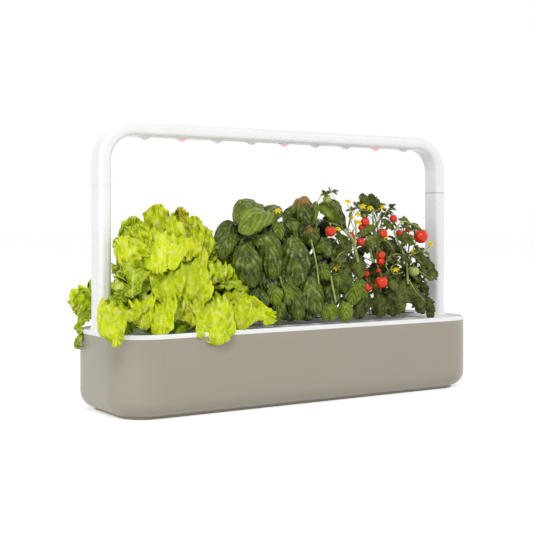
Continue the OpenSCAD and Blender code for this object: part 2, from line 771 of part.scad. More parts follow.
module lamp_housing() color(WHITE) difference() {
    union() {
        difference() {
            arch(0);
            arch(arm_wall);
        }
        for (s = [-1, 1]) translate([s * arm_x, 0, 0]) spigot_end(seam_z, spigot_h);
        // Bosses for the cover's screws, and ribs that hold the heat sink
        for (p = screw_stations) translate([p.x, p.y, bar_z + cover_t])
            cylinder(d = boss_d, h = bar_roof_z + arm_wall / 2 - bar_z - cover_t);
        for (k = [-2.5, -0.5, 0.5, 2.5])
            translate([k * pod_pitch - sink_rib_t / 2, -board_w / 2, sink_z + sink_t])
                cube([sink_rib_t, board_w, bar_roof_z + arm_wall / 2 - sink_z - sink_t]);
    }
    for (s = [-1, 1]) translate([s * arm_x, 0, 0]) spigot_bore(seam_z, spigot_h);
    translate([0, 0, bar_z - CUT]) linear_extrude(cover_t + CUT + cover_gap) cover_plan(cover_gap);
    for (p = screw_stations) translate([p.x, p.y, bar_z]) cylinder(d = screw_d, h = screw_h + cover_t);
    translate([driver_x, 0, bar_roof_z - CUT])
        cylinder(d = button_d + 2 * button_gap, h = arm_wall + 2 * CUT);
    translate([arm_x, arm_w / 2 - arm_wall - CUT, seam_z + inlet_z]) rotate([-90, 0, 0])
        cylinder(d = inlet_d, h = arm_wall + 2 * CUT);
}

screw_h = 6;
screw_head_t = 1;

// The cover's edges follow the bar's rounded corners
module lamp_cover() color(WHITE) difference() {
    intersection() {
        translate([0, 0, bar_z]) linear_extrude(cover_t) cover_plan(0);
        bar(0);
    }
    for (i = PODS) translate([pod_x(i), 0, bar_z - CUT])
        cylinder(d = lens_d + 2 * lens_gap, h = cover_t + 2 * CUT);
    for (p = screw_stations) translate([p.x, p.y, bar_z - CUT]) {
        cylinder(d = screw_d, h = cover_t + 2 * CUT);
        cylinder(d = screw_head_d, h = screw_head_t + CUT);
    }
}

module cover_screws() color(METAL) for (p = screw_stations) translate([p.x, p.y, bar_z]) {
    cylinder(d = screw_head_d, h = screw_head_t);
    cylinder(d = screw_d, h = screw_h);
}

module lens_bezels() color(METAL) for (i = PODS) translate([pod_x(i), 0, bar_z - bezel_h]) difference() {
    cylinder(d = lens_d + 2 * lens_gap + 2 * bezel_w, h = bezel_h);
    translate([0, 0, -CUT]) cylinder(d = lens_d + 2 * lens_gap, h = bezel_h + 2 * CUT);
}

// Every third lens, the middle one of its kind of plant, is red
function is_red(i) = i % 3 == 1;

// A lens: a barrel through the bezel and the cover, with a shallow dome below
module lens(i) {
    dome_r = (lens_d * lens_d / 4 + lens_drop * lens_drop) / (2 * lens_drop);
    translate([pod_x(i), 0, bar_z - bezel_h]) {
        cylinder(d = lens_d, h = bezel_h + cover_t);
        intersection() {
            translate([0, 0, dome_r - lens_drop]) sphere(r = dome_r);
            translate([0, 0, -lens_drop]) cylinder(d = lens_d, h = lens_drop + CUT);
        }
    }
}

module clear_lenses() color([0.9, 0.92, 0.92]) for (i = PODS) if (!is_red(i)) lens(i);
module red_lenses() color([0.85, 0.25, 0.2]) for (i = PODS) if (is_red(i)) lens(i);

// The LED board reaches this far beyond the first and the last LED
board_end = 12;
board_len = 8 * pod_pitch + 2 * board_end;

module led_board() color(WHITE)
    translate([-board_len / 2, -board_w / 2, led_board_z]) cube([board_len, board_w, board_t]);

module leds() color([0.95, 0.9, 0.6]) for (i = PODS)
    translate([pod_x(i) - led_w / 2, -led_w / 2, led_board_z - led_t]) cube([led_w, led_w, led_t]);

module heat_sink() color(METAL)
    translate([-board_len / 2, -board_w / 2, sink_z]) cube([board_len, board_w, sink_t]);

module driver_board() color(BOARD_GREEN)
    translate([driver_x - driver_len / 2, -board_w / 2, driver_z]) cube([driver_len, board_w, board_t]);

// ---- Light button ----

switch_z = driver_z + board_t;
plunger_z = switch_z + switch_h / 2;
button_foot_z = switch_z + switch_h + button_travel + press_room;

module tact_switch() color(RUBBER) translate([driver_x, 0, switch_z]) difference() {
    translate([-switch_w / 2, -switch_w / 2, 0]) cube([switch_w, switch_w, switch_h]);
    translate([0, 0, switch_h / 2 - button_travel - press_room])
        cylinder(d = plunger_d + 2 * plunger_gap, h = switch_h);
}

module switch_plunger() color(METAL) translate([driver_x, 0, plunger_z])
    cylinder(d = plunger_d, h = button_foot_z - plunger_z);

module light_button() color(WHITE) translate([driver_x, 0, 0]) {
    translate([0, 0, button_foot_z]) cylinder(d = button_d, h = lamp_top + button_proud - button_foot_z);
    translate([0, 0, bar_roof_z - button_gap - button_flange[0]])
        cylinder(d = button_d + 2 * button_flange[1], h = button_flange[0]);
}

// ---- Inlet and lead ----

inlet_len = 12;
inlet_floor = 2;
// The centre pin stops this far inside the inlet's mouth
pin_depth = 1;
inlet_back = arm_w / 2;

module dc_inlet() color(RUBBER) translate([arm_x, inlet_back, seam_z + inlet_z]) rotate([90, 0, 0]) {
    difference() {
        cylinder(d = inlet_d, h = inlet_len);
        translate([0, 0, -CUT]) cylinder(d = inlet_bore, h = inlet_len - inlet_floor + CUT);
    }
    translate([0, 0, pin_depth]) cylinder(d = inlet_pin_d, h = inlet_len - inlet_floor);
}

// Up from the inlet, round the bend and along the bar, onto the end of the driver board
lead_y = inlet_back - inlet_len - lead_d / 2;
lead_z = driver_z + board_t + lead_d / 2;
lead_bend = lead_z - lamp_top + bend_r;
// The lead lies on this much of the driver board
lead_lap = 5;

module power_lead() color(RUBBER) translate([0, lead_y, 0]) {
    lead_end = driver_x + driver_len / 2 - lead_lap;
    translate([bend_x + lead_bend, 0, seam_z + inlet_z - inlet_d / 2])
        cylinder(d = lead_d, h = lamp_top - bend_r - seam_z - inlet_z + inlet_d / 2);
    translate([bend_x, 0, lamp_top - bend_r]) rotate([90, 0, 0]) rotate_extrude(angle = 90)
        translate([lead_bend, 0]) circle(d = lead_d);
    translate([lead_end, 0, lead_z]) rotate([0, 90, 0]) cylinder(d = lead_d, h = bend_x - lead_end);
}

// ---- What is drawn ----

water_tank();
anti_slip_pads();
grow_tray();
gauge_cage();
gauge_cap();
level_float();
level_stem();
for (i = PODS) {
    pod_cup(i);
    pod_plug(i);
    union() {
        if (i < 3) lettuce(i);
        else if (i < 6) basil(i);
        else tomato(i);
    }
}
for (i = TOMATOES) tomato_fruit(i);
lettuce_1_front_leaf();
lettuce_1_back_leaf();
arm(-1);  // left_arm
arm(1);  // right_arm
lamp_housing();
lamp_cover();
lens_bezels();
clear_lenses();
red_lenses();
led_board();
leds();
heat_sink();
driver_board();
tact_switch();
cover_screws();
dc_inlet();
power_lead();
light_button();
switch_plunger();
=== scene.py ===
"""Looks for a countertop hydroponic garden: nine plants in a water tank under a lamp arch.

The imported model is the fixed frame. The tank, the tray, the arms and the lamp keep their solids
and get their finishes here. The nine plants are made here leaf by leaf, and each rides on its
own pod. Tables are in millimetres unless they say otherwise, and Blender works in metres.
"""

import logging
import math
from dataclasses import dataclass, field, replace
from enum import Enum
from typing import ClassVar, Sequence

import bmesh
import bpy
import numpy as np
from bmesh.types import BMesh
from bpy.types import Material, Mesh, Node, NodeSocket, NodeTree, Object
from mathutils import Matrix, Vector


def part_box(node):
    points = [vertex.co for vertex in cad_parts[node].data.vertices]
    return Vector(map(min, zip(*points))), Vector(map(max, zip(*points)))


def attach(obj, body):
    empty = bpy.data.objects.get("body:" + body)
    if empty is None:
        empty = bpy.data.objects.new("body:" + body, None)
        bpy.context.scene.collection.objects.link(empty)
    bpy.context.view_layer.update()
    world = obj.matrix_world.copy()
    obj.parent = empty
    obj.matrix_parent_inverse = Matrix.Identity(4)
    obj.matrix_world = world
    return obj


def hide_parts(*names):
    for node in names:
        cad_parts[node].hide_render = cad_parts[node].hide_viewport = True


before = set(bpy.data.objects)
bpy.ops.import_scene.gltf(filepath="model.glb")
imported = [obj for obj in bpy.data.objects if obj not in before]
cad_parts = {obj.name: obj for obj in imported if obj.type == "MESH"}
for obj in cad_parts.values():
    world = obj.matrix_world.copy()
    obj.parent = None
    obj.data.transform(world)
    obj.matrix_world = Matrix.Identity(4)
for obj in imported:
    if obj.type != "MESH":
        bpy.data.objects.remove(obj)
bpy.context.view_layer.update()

LOG = logging.getLogger("garden")
MM = 0.001

Colour = tuple[float, float, float]
Place = tuple[float, float, float]
# From the least to the greatest, or from the first to the last
Span = tuple[float, float]
Input = float | Colour | NodeSocket


# ---- Materials ----

# Depth to which light scatters in a plant's skin, and its reach in red, green and blue
SCATTER_MM = 3
LEAF_SCATTER = (0.6, 1.0, 0.2)
FLESH_SCATTER = (1.0, 0.5, 0.3)


class Graph:
    """A material under construction, whose nodes are added and wired by name."""

    def __init__(self, name: str) -> None:
        """Starts a material with its principled shader.

        Args:
            name: the material's name.
        """
        self.material = bpy.data.materials.new(name)
        self.material.use_nodes = True
        self.tree = self.material.node_tree
        self.shader = self.tree.nodes["Principled BSDF"]

    def feed(self, socket: NodeSocket, value: Input) -> None:
        """Links a socket to a socket, or sets its plain value.

        Args:
            socket: the input to fill.
            value: another node's output, a number or a colour.
        """
        if isinstance(value, NodeSocket):
            self.tree.links.new(value, socket)
        elif socket.type == "RGBA":
            socket.default_value = (*value, 1.0)
        else:
            socket.default_value = value

    def add(
        self, kind: str, inputs: dict[str | int, Input] | None = None, **settings: object
    ) -> Node:
        """Adds a node.

        Args:
            kind: the node's type, without its ShaderNode prefix.
            inputs: values for its inputs, by name or number.
            **settings: values for its own properties.

        Returns:
            The new node.
        """
        made = self.tree.nodes.new("ShaderNode" + kind)
        for key, value in settings.items():
            setattr(made, key, value)
        for key, value in (inputs or {}).items():
            self.feed(made.inputs[key], value)
        return made

    def surface(self, **values: Input) -> None:
        """Fills inputs of the principled shader, with underscores for the spaces in their names."""
        for key, value in values.items():
            self.feed(self.shader.inputs[key.replace("_", " ")], value)

    def maths(self, operation: str, a: Input, b: Input = 0.0) -> NodeSocket:
        """Returns the result of a Math node on a and b."""
        return self.add("Math", {0: a, 1: b}, operation=operation).outputs[0]

    def plus(self, a: Input, b: Input) -> NodeSocket:
        """Returns a + b."""
        return self.maths("ADD", a, b)

    def minus(self, a: Input, b: Input) -> NodeSocket:
        """Returns a - b."""
        return self.maths("SUBTRACT", a, b)

    def times(self, a: Input, b: Input) -> NodeSocket:
        """Returns a * b."""
        return self.maths("MULTIPLY", a, b)

    def span(
        self, value: Input, start: float, end: float, low: float = 0.0, high: float = 1.0
    ) -> NodeSocket:
        """Maps a value smoothly from start..end onto low..high.

        Args:
            value: what is mapped.
            start: the value that gives low.
            end: the value that gives high.
            low: result at start.
            high: result at end.

        Returns:
            The mapped value.
        """
        inputs = {0: value, 1: start, 2: end, 3: low, 4: high}
        return self.add("MapRange", inputs, interpolation_type="SMOOTHSTEP").outputs[0]

    def mix(self, amount: Input, a: Input, b: Input) -> NodeSocket:
        """Returns colour a where amount is 0 and colour b where it is 1."""
        return self.add("Mix", {0: amount, 6: a, 7: b}, data_type="RGBA").outputs[2]

    def noise(
        self, scale: float, detail: float = 2.0, stretch: Place = (1, 1, 1)
    ) -> NodeSocket:
        """Adds noise on Object coordinates.

        Args:
            scale: repeats per metre, about.
            detail: layers of finer noise.
            stretch: factors for the three axes.

        Returns:
            The noise, around 0.5.
        """
        where = self.add("TexCoord").outputs["Object"]
        where = self.add("Mapping", {"Vector": where, "Scale": stretch}).outputs[0]
        return self.add("TexNoise", {"Vector": where, "Scale": scale, "Detail": detail}).outputs[0]

    def scatter(self, weight: float, radius: Place) -> None:
        """Lets light through the skin, with the share that scatters and its reach by colour."""
        self.surface(Subsurface_Weight=weight, Subsurface_Radius=radius)
        self.surface(Subsurface_Scale=SCATTER_MM * MM)

    def bump(self, height: Input, distance: float) -> None:
        """Raises the surface by height times distance, on top of any earlier bump.

        Args:
            height: the relief, from 0 to 1.
            distance: metres that 1 stands for.
        """
        node = self.add("Bump", {"Height": height, "Distance": distance, "Strength": 1.0})
        earlier = self.shader.inputs["Normal"].links
        if earlier:
            self.feed(node.inputs["Normal"], earlier[0].from_socket)
        self.feed(self.shader.inputs["Normal"], node.outputs[0])


@dataclass(frozen=True)
class Moulded:
    """A moulded plastic, rubber, metal or foam with a fine grain."""

    name: str
    colour: Colour
    roughness: float
    grain_mm: float = 0.004
    grain_scale: float = 1800.0
    shade: float = 0.03
    metallic: float = 0.0
    specular: float = 0.5

    def material(self) -> Material:
        """Returns the finish as a material."""
        g = Graph(self.name)
        drift = g.span(g.noise(14.0, 3.0), 0.3, 0.7)
        dark = tuple(c * (1 - self.shade) for c in self.colour)
        gloss = g.span(g.noise(35.0, 4.0), 0.25, 0.75, self.roughness * 0.88, self.roughness * 1.12)
        g.surface(Base_Color=g.mix(drift, dark, self.colour), Roughness=gloss)
        g.surface(Metallic=self.metallic, Specular_IOR_Level=self.specular)
        g.bump(g.noise(self.grain_scale, 1.0), self.grain_mm * MM)
        return g.material


@dataclass(frozen=True)
class Glass:
    """A clear or tinted moulded lens."""

    name: str
    colour: Colour
    lit: Colour
    roughness: float = 0.25
    through: float = 0.15
    glow: float = 0.3

    def material(self) -> Material:
        """Returns the finish as a material."""
        g = Graph(self.name)
        cloud = g.span(g.noise(220.0, 2.0), 0.3, 0.7)
        pale = tuple(min(1.0, c * 1.15) for c in self.colour)
        g.surface(Base_Color=g.mix(cloud, self.colour, pale), Roughness=self.roughness)
        g.surface(Transmission_Weight=self.through, IOR=1.49)
        g.surface(Emission_Color=self.lit, Emission_Strength=self.glow)
        g.bump(g.noise(600.0, 1.0), 0.01 * MM)
        return g.material


@dataclass(frozen=True)
class Peat:
    """The crumbly dark medium that the plants root in."""

    name: str = "growing_medium"

    def material(self) -> Material:
        """Returns the finish as a material."""
        g = Graph(self.name)
        crumbs = g.noise(420.0, 6.0)
        fibres = g.noise(260.0, 3.0, (1.0, 1.0, 4.0))
        colour = g.mix(g.span(crumbs, 0.35, 0.65), (0.018, 0.010, 0.006), (0.085, 0.05, 0.028))
        colour = g.mix(g.span(fibres, 0.58, 0.7, 0.0, 0.6), colour, (0.2, 0.13, 0.07))
        g.surface(Base_Color=colour, Roughness=0.95)
        g.bump(crumbs, 1.6 * MM)
        return g.material


@dataclass(frozen=True)
class LeafSkin:
    """The skin of a kind of leaf. It reads the blade's own UV map and its tone and stain."""

    name: str
    dark: Colour
    light: Colour
    vein: Colour
    stain: Colour
    edge: Colour
    roughness: float
    veins: float
    slope: float
    vein_show: float
    edge_show: float = 0.0
    mottle: float = 60.0
    wrinkle_mm: float = 0.35
    glow: float = 0.15
    coat: float = 0.0
    specular: float = 0.28
    rib_width: float = 0.09
    crumple_mm: float = 0.0
    # The share by which the swellings between the veins are painted lighter and the grooves darker:
    # painted light and shade
    painted_puff_shading: float = 0.0
    puff_mm: float = 0.4
    # A pale colour painted in patches on the swellings, and its share: painted highlights
    painted_highlight: Colour = (1.0, 1.0, 1.0)
    painted_highlight_show: float = 0.0
    depth: float = 1.0

    def material(self) -> Material:
        """Returns the finish as a material."""
        g = Graph(self.name)
        split = g.add("SeparateXYZ", {0: g.add("TexCoord").outputs["UV"]})
        across = g.times(g.maths("ABSOLUTE", g.minus(split.outputs[0], 0.5)), 2.0)
        along = split.outputs[1]
        patch = g.noise(self.mottle, 4.0)
        fine = g.noise(self.mottle * 6, 3.0)
        crumple = g.noise(self.mottle * 2.4, 3.0)
        wave = self.wave(g, across, along, patch)
        puff = g.span(wave, 0.02, 0.45)
        colour = g.mix(self.shade(g, patch, puff), self.dark, self.light)
        # Painted highlights: a pale colour in patches on the swellings between the veins
        gloss = g.times(g.span(crumple, 0.48, 0.66), g.span(wave, 0.0, 0.35, 0.3, 1.0))
        colour = g.mix(g.times(gloss, self.painted_highlight_show), colour, self.painted_highlight)
        ribs = self.ribs(g, across, along, wave)
        colour = g.mix(g.times(ribs, self.vein_show), colour, self.vein)
        colour = g.mix(g.times(g.span(across, 0.8, 1.0), self.edge_show), colour, self.edge)
        stained = g.add("Attribute", attribute_name="stain").outputs["Fac"]
        blot = g.times(stained, g.span(fine, 0.3, 0.55))
        blot = g.times(blot, g.span(wave, 0.05, 0.35, 1.0, 0.35))
        rough = g.span(fine, 0.2, 0.8, self.roughness * 0.8, self.roughness * 1.25)
        g.surface(Base_Color=g.mix(blot, colour, self.stain), Roughness=rough)
        g.scatter(self.glow, LEAF_SCATTER)
        g.surface(Coat_Weight=self.coat, Coat_Roughness=0.2, Specular_IOR_Level=self.specular)
        g.bump(puff, self.puff_mm * MM)
        g.bump(crumple, self.crumple_mm * MM)
        g.bump(fine, self.wrinkle_mm * MM)
        return g.material

    def wave(self, g: Graph, across: Input, along: Input, patch: Input) -> NodeSocket:
        """Makes the wave that the side veins follow.

        Args:
            g: the material under construction.
            across: distance from the midrib, 1 at the edge.
            along: place along the leaf, 1 at the tip.
            patch: noise that makes the veins sway.

        Returns:
            A value that is 0 on a side vein and 0.5 midway between two.
        """
        sway = g.times(g.minus(patch, 0.5), 0.5)
        phase = g.times(g.minus(along, g.times(across, self.slope)), self.veins)
        return g.maths("ABSOLUTE", g.minus(g.maths("FRACT", g.plus(phase, sway)), 0.5))

    def ribs(self, g: Graph, across: Input, along: Input, wave: Input) -> NodeSocket:
        """Makes the mask of the midrib and the side veins.

        Args:
            g: the material under construction.
            across: distance from the midrib, 1 at the edge.
            along: place along the leaf, 1 at the tip.
            wave: the side veins' wave.

        Returns:
            The mask, from 0 to 1.
        """
        midrib = g.span(g.plus(across, g.times(along, 0.05)), 0.035, 0.11, 1.0, 0.0)
        return g.maths("MAXIMUM", midrib, g.span(wave, 0.0, self.rib_width, 0.75, 0.0))

    def shade(self, g: Graph, patch: Input, puff: Input) -> NodeSocket:
        """Makes the shade of green from the leaf's tone and patches, with painted light on the
        puffs and painted shade between them.

        Args:
            g: the material under construction.
            patch: noise of the mottled skin.
            puff: the swelling between the veins.

        Returns:
            The shade, 0 for dark and 1 for light.
        """
        tone = g.add("Attribute", attribute_name="tone").outputs["Fac"]
        shade = g.plus(g.times(tone, 0.75), g.times(g.span(patch, 0.3, 0.7), 0.25))
        # The swellings are painted lighter and the grooves darker: painted light and shade
        shade = g.plus(shade, g.times(g.minus(puff, 0.5), self.painted_puff_shading))
        return g.maths("POWER", g.maths("MAXIMUM", shade, 0.0), self.depth)


@dataclass(frozen=True)
class Skin:
    """A plain plant skin, for stems, fruits and petals."""

    name: str
    dark: Colour
    light: Colour
    roughness: float
    patch: float = 70.0
    wrinkle_mm: float = 0.05
    coat: float = 0.0
    glow: float = 0.0
    fade: float = 0.0
    specular: float = 0.3

    def material(self) -> Material:
        """Returns the finish as a material. With fade, the tone attribute picks the shade."""
        g = Graph(self.name)
        tone = g.add("Attribute", attribute_name="tone").outputs["Fac"]
        spread = g.times(g.span(g.noise(self.patch, 4.0), 0.25, 0.75), 1 - self.fade)
        shade = g.plus(spread, g.times(tone, self.fade))
        g.surface(Base_Color=g.mix(shade, self.dark, self.light), Roughness=self.roughness)
        g.surface(Coat_Weight=self.coat, Coat_Roughness=0.08, Specular_IOR_Level=self.specular)
        g.scatter(self.glow, FLESH_SCATTER)
        g.bump(g.noise(self.patch * 12, 2.0), self.wrinkle_mm * MM)
        return g.material


TAUPE = Moulded("tank_plastic", (0.350, 0.315, 0.250), 0.34, 0.006, 1500.0, 0.02)
WHITE = Moulded("white_plastic", (0.86, 0.86, 0.86), 0.3, 0.003)
DECK = Moulded("tray_plastic", (0.9, 0.9, 0.9), 0.6, 0.002, specular=0.01)
COVER = Moulded("cover_plastic", (0.8, 0.8, 0.76), 0.4)
BEZEL = Moulded("bezel_plastic", (0.84, 0.84, 0.83), 0.3)
CUP = Moulded("cup_plastic", (0.84, 0.85, 0.83), 0.4)
RUBBER = Moulded("pad_rubber", (0.02, 0.02, 0.021), 0.75, 0.02)
BLACK = Moulded("black_plastic", (0.025, 0.025, 0.027), 0.4)
LEAD = Moulded("lead_rubber", (0.03, 0.03, 0.032), 0.55)
FOAM = Moulded("float_foam", (0.78, 0.78, 0.74), 0.85, 0.12, 500.0)
BLUE = Moulded("stem_plastic", (0.03, 0.16, 0.5), 0.3)
BOARD = Moulded("circuit_board", (0.02, 0.14, 0.05), 0.35, shade=0.12)
WHITE_BOARD = Moulded("led_board_lacquer", (0.8, 0.8, 0.78), 0.35)
CHIP = Moulded("led_chip", (0.85, 0.72, 0.28), 0.3, shade=0.1)
ALUMINIUM = Moulded("sink_aluminium", (0.7, 0.71, 0.72), 0.32, 0.01, 900.0, metallic=1.0)
STEEL = Moulded("screw_steel", (0.55, 0.56, 0.58), 0.25, metallic=1.0)
CLEAR_LENS = Glass("clear_lens", (0.80, 0.83, 0.86), (0.9, 0.95, 1.0), glow=0.06)
RED_LENS = Glass("red_lens", (0.88, 0.48, 0.48), (1.0, 0.45, 0.45), glow=0.3)
PEAT = Peat()
# Dark and pale grey for the bands round the arms: painted shadow of the seams' grooves
SEAM = Moulded("seam_shadow", (0.34, 0.335, 0.32), 0.5)
FAINT_SEAM = Moulded("faint_seam_shadow", (0.66, 0.655, 0.64), 0.5)

# In the three leaf skins the pale patch colour is painted highlights, and the puff share paints
# light on the swellings and shade in the grooves
LETTUCE_SKIN = LeafSkin(
    "lettuce_leaf",
    dark=(0.13, 0.27, 0.001),
    light=(0.69, 0.81, 0.008),
    vein=(0.84, 0.88, 0.16),
    stain=(0.68, 0.42, 0.05),
    edge=(0.84, 0.86, 0.06),
    roughness=0.32,
    veins=5.0,
    slope=0.55,
    vein_show=0.4,
    edge_show=0.3,
    mottle=46.0,
    wrinkle_mm=0.25,
    crumple_mm=2.4,
    painted_highlight=(0.92, 0.88, 0.34),
    painted_highlight_show=0.5,
    glow=0.12,
    specular=0.15,
    rib_width=0.17,
)
BASIL_SKIN = LeafSkin(
    "basil_leaf",
    dark=(0.003, 0.009, 0.0005),
    light=(0.26, 0.38, 0.015),
    vein=(0.18, 0.26, 0.03),
    stain=(0.72, 0.22, 0.06),
    edge=(0.12, 0.22, 0.02),
    roughness=0.3,
    veins=4.0,
    slope=0.7,
    vein_show=0.2,
    edge_show=0.2,
    mottle=50.0,
    depth=1.5,
    wrinkle_mm=0.2,
    crumple_mm=0.9,
    painted_highlight=(0.44, 0.52, 0.18),
    painted_highlight_show=0.4,
    painted_puff_shading=0.16,
    puff_mm=1.2,
    glow=0.02,
    coat=0.25,
    specular=0.12,
)
TOMATO_SKIN = LeafSkin(
    "tomato_leaf",
    dark=(0.006, 0.013, 0.004),
    light=(0.30, 0.37, 0.06),
    vein=(0.17, 0.20, 0.06),
    stain=(0.46, 0.40, 0.04),
    edge=(0.16, 0.20, 0.04),
    roughness=0.5,
    veins=6.0,
    slope=0.6,
    vein_show=0.5,
    edge_show=0.35,
    mottle=90.0,
    depth=1.2,
    wrinkle_mm=0.3,
    crumple_mm=0.8,
    painted_highlight=(0.34, 0.38, 0.14),
    painted_highlight_show=0.35,
    painted_puff_shading=0.08,
    puff_mm=0.8,
    glow=0.03,
    specular=0.12,
)
BASIL_STEM = Skin("basil_stem", (0.20, 0.30, 0.04), (0.50, 0.56, 0.18), 0.45)
TOMATO_STEM = Skin("tomato_stem", (0.20, 0.24, 0.05), (0.46, 0.48, 0.18), 0.6)
LETTUCE_STEM = Skin("lettuce_stem", (0.55, 0.66, 0.2), (0.8, 0.84, 0.5), 0.4, glow=0.2)
FRUIT = Skin(
    "tomato_fruit",
    dark=(0.36, 0.46, 0.09),
    light=(0.72, 0.016, 0.0005),
    roughness=0.08,
    wrinkle_mm=0.002,
    coat=0.3,
    glow=0.01,
    fade=0.96,
    specular=0.25,
)
PETAL = Skin("tomato_petal", (0.80, 0.50, 0.004), (0.95, 0.76, 0.012), 0.5, glow=0.2)


# ---- Placing ----


@dataclass(frozen=True)
class Viewpoint:
    """Where the camera stands, and how it looks at the garden."""

    place_mm: Place = (-919.2, -1369.9, 257.5)
    turn: float = 32.93
    focal_px: float = 1091.7
    frame_px: int = 533
    horizon_px: float = 225.5
    sensor_mm: float = 36.0

    @property
    def forward(self) -> np.ndarray:
        """The level direction in which the camera looks."""
        a = math.radians(self.turn)
        return np.array((math.sin(a), math.cos(a), 0.0))

    @property
    def right(self) -> np.ndarray:
        """The level direction to the camera's right."""
        a = math.radians(self.turn)
        return np.array((math.cos(a), -math.sin(a), 0.0))

    def spot(self, column: float, row: float, depth: float) -> np.ndarray:
        """Finds the place that the camera sees at a column and a row of its frame.

        Args:
            column: pixels from the frame's left edge.
            row: pixels from the frame's top edge.
            depth: the place's Y.

        Returns:
            The place in millimetres.
        """
        eye = np.array(self.place_mm)
        ray = self.forward + self.right * (column - self.frame_px / 2) / self.focal_px
        ray = ray + np.array((0, 0, 1.0)) * (self.horizon_px - row) / self.focal_px
        return eye + ray * (depth - eye[1]) / ray[1]

    def scale(self, place: np.ndarray) -> float:
        """Returns the millimetres that one pixel stands for at a place."""
        return float((place - np.array(self.place_mm)) @ self.forward) / self.focal_px


VIEW = Viewpoint()
# Leaves keep behind this Y: of what would pass it, only the share SOFT does
FRONT = -112.0
SOFT = 0.2
# A leaf turns its upper face this way, unless its table says otherwise: to the camera and up
TO_VIEWER = -0.72 * VIEW.forward + np.array((0, 0, 0.69))


class Line:
    """A smooth line through a few points, read by its share of the length."""

    STEPS = 12
    # The heading at a place is taken from this far before it to this far past it
    NEAR = 0.04

    def __init__(self, points: Sequence[Sequence[float]]) -> None:
        """Runs a spline through the points.

        Args:
            points: two or more places in millimetres.
        """
        p = np.array(points, float)
        p = np.vstack((2 * p[0] - p[1], p, 2 * p[-1] - p[-2]))
        t = np.linspace(0, 1, self.STEPS, endpoint=False)[:, None]
        runs = [
            0.5
            * (
                2 * p[k]
                + (p[k + 1] - p[k - 1]) * t
                + (2 * p[k - 1] - 5 * p[k] + 4 * p[k + 1] - p[k + 2]) * t**2
                + (3 * p[k] - p[k - 1] - 3 * p[k + 1] + p[k + 2]) * t**3
            )
            for k in range(1, len(p) - 2)
        ]
        self.places = np.vstack((*runs, p[-2]))
        gaps = np.linalg.norm(np.diff(self.places, axis=0), axis=1)
        self.length = float(gaps.sum())
        self.shares = np.concatenate(((0.0,), np.cumsum(gaps))) / self.length

    def at(self, share: np.ndarray) -> np.ndarray:
        """Returns the places at these shares of the length."""
        return np.column_stack([np.interp(share, self.shares, axis) for axis in self.places.T])

    def heading(self, share: np.ndarray) -> np.ndarray:
        """Returns the unit directions of the line at these shares of its length."""
        past, before = np.clip(share + self.NEAR, 0, 1), np.clip(share - self.NEAR, 0, 1)
        return unit(self.at(past) - self.at(before))


def unit(v: np.ndarray) -> np.ndarray:
    """Returns the vectors with length 1."""
    return v / np.maximum(np.linalg.norm(v, axis=-1, keepdims=True), 1e-9)


def level(degrees: float, squash: float = 1.0) -> np.ndarray:
    """Returns the level direction at an angle from X, with squash applied to its X."""
    way = math.radians(degrees)
    return np.array((math.cos(way) * squash, math.sin(way), 0.0))


def arc(start: np.ndarray, way: np.ndarray, *steps: tuple[float, float]) -> list[np.ndarray]:
    """Lays places past a start.

    Args:
        start: where the reach and the rise are 0.
        way: the direction of the reach.
        *steps: reach and rise of each place.

    Returns:
        The places.
    """
    return [start + way * reach + (0, 0, rise) for reach, rise in steps]


# ---- Leaves ----


@dataclass(frozen=True)
class Cut:
    """Outline and relief of a kind of leaf, with widths as shares of the half width.

    roll is the angle to which the edges curl down, or up where it is negative. fan draws the
    corners back, so that the end becomes an arc.
    """

    columns: int
    rows: int
    neck: float
    widest: float
    end: float
    rise: float = 1.0
    fall: float = 1.0
    fan: float = 0.0
    roll: float = 0.0
    lobes: float = 0.0
    lobe_count: int = 5
    notches: float = 0.0
    notch_count: float = 4.0
    frill_mm: float = 0.0
    frill_count: int = 9
    quilt_mm: float = 0.0
    quilt_count: float = 6.0
    quilt_slope: float = 0.45
    pucker_mm: float = 0.0
    pucker_size_mm: float = 9.0
    thickness_mm: float = 0.5

    def width_at(self, t: np.ndarray) -> np.ndarray:
        """Gives the outline.

        Args:
            t: from 0 at the base to 1 at the tip.

        Returns:
            The half widths, as shares of the widest.
        """
        up = np.clip(t / self.widest, 0, 1)
        down = np.clip((t - self.widest) / (1 - self.widest), 0, 1)
        rising = self.neck + (1 - self.neck) * np.sin(math.pi / 2 * up) ** self.rise
        falling = self.end + (1 - self.end) * np.cos(math.pi / 2 * down) ** self.fall
        return np.where(t < self.widest, rising, falling)


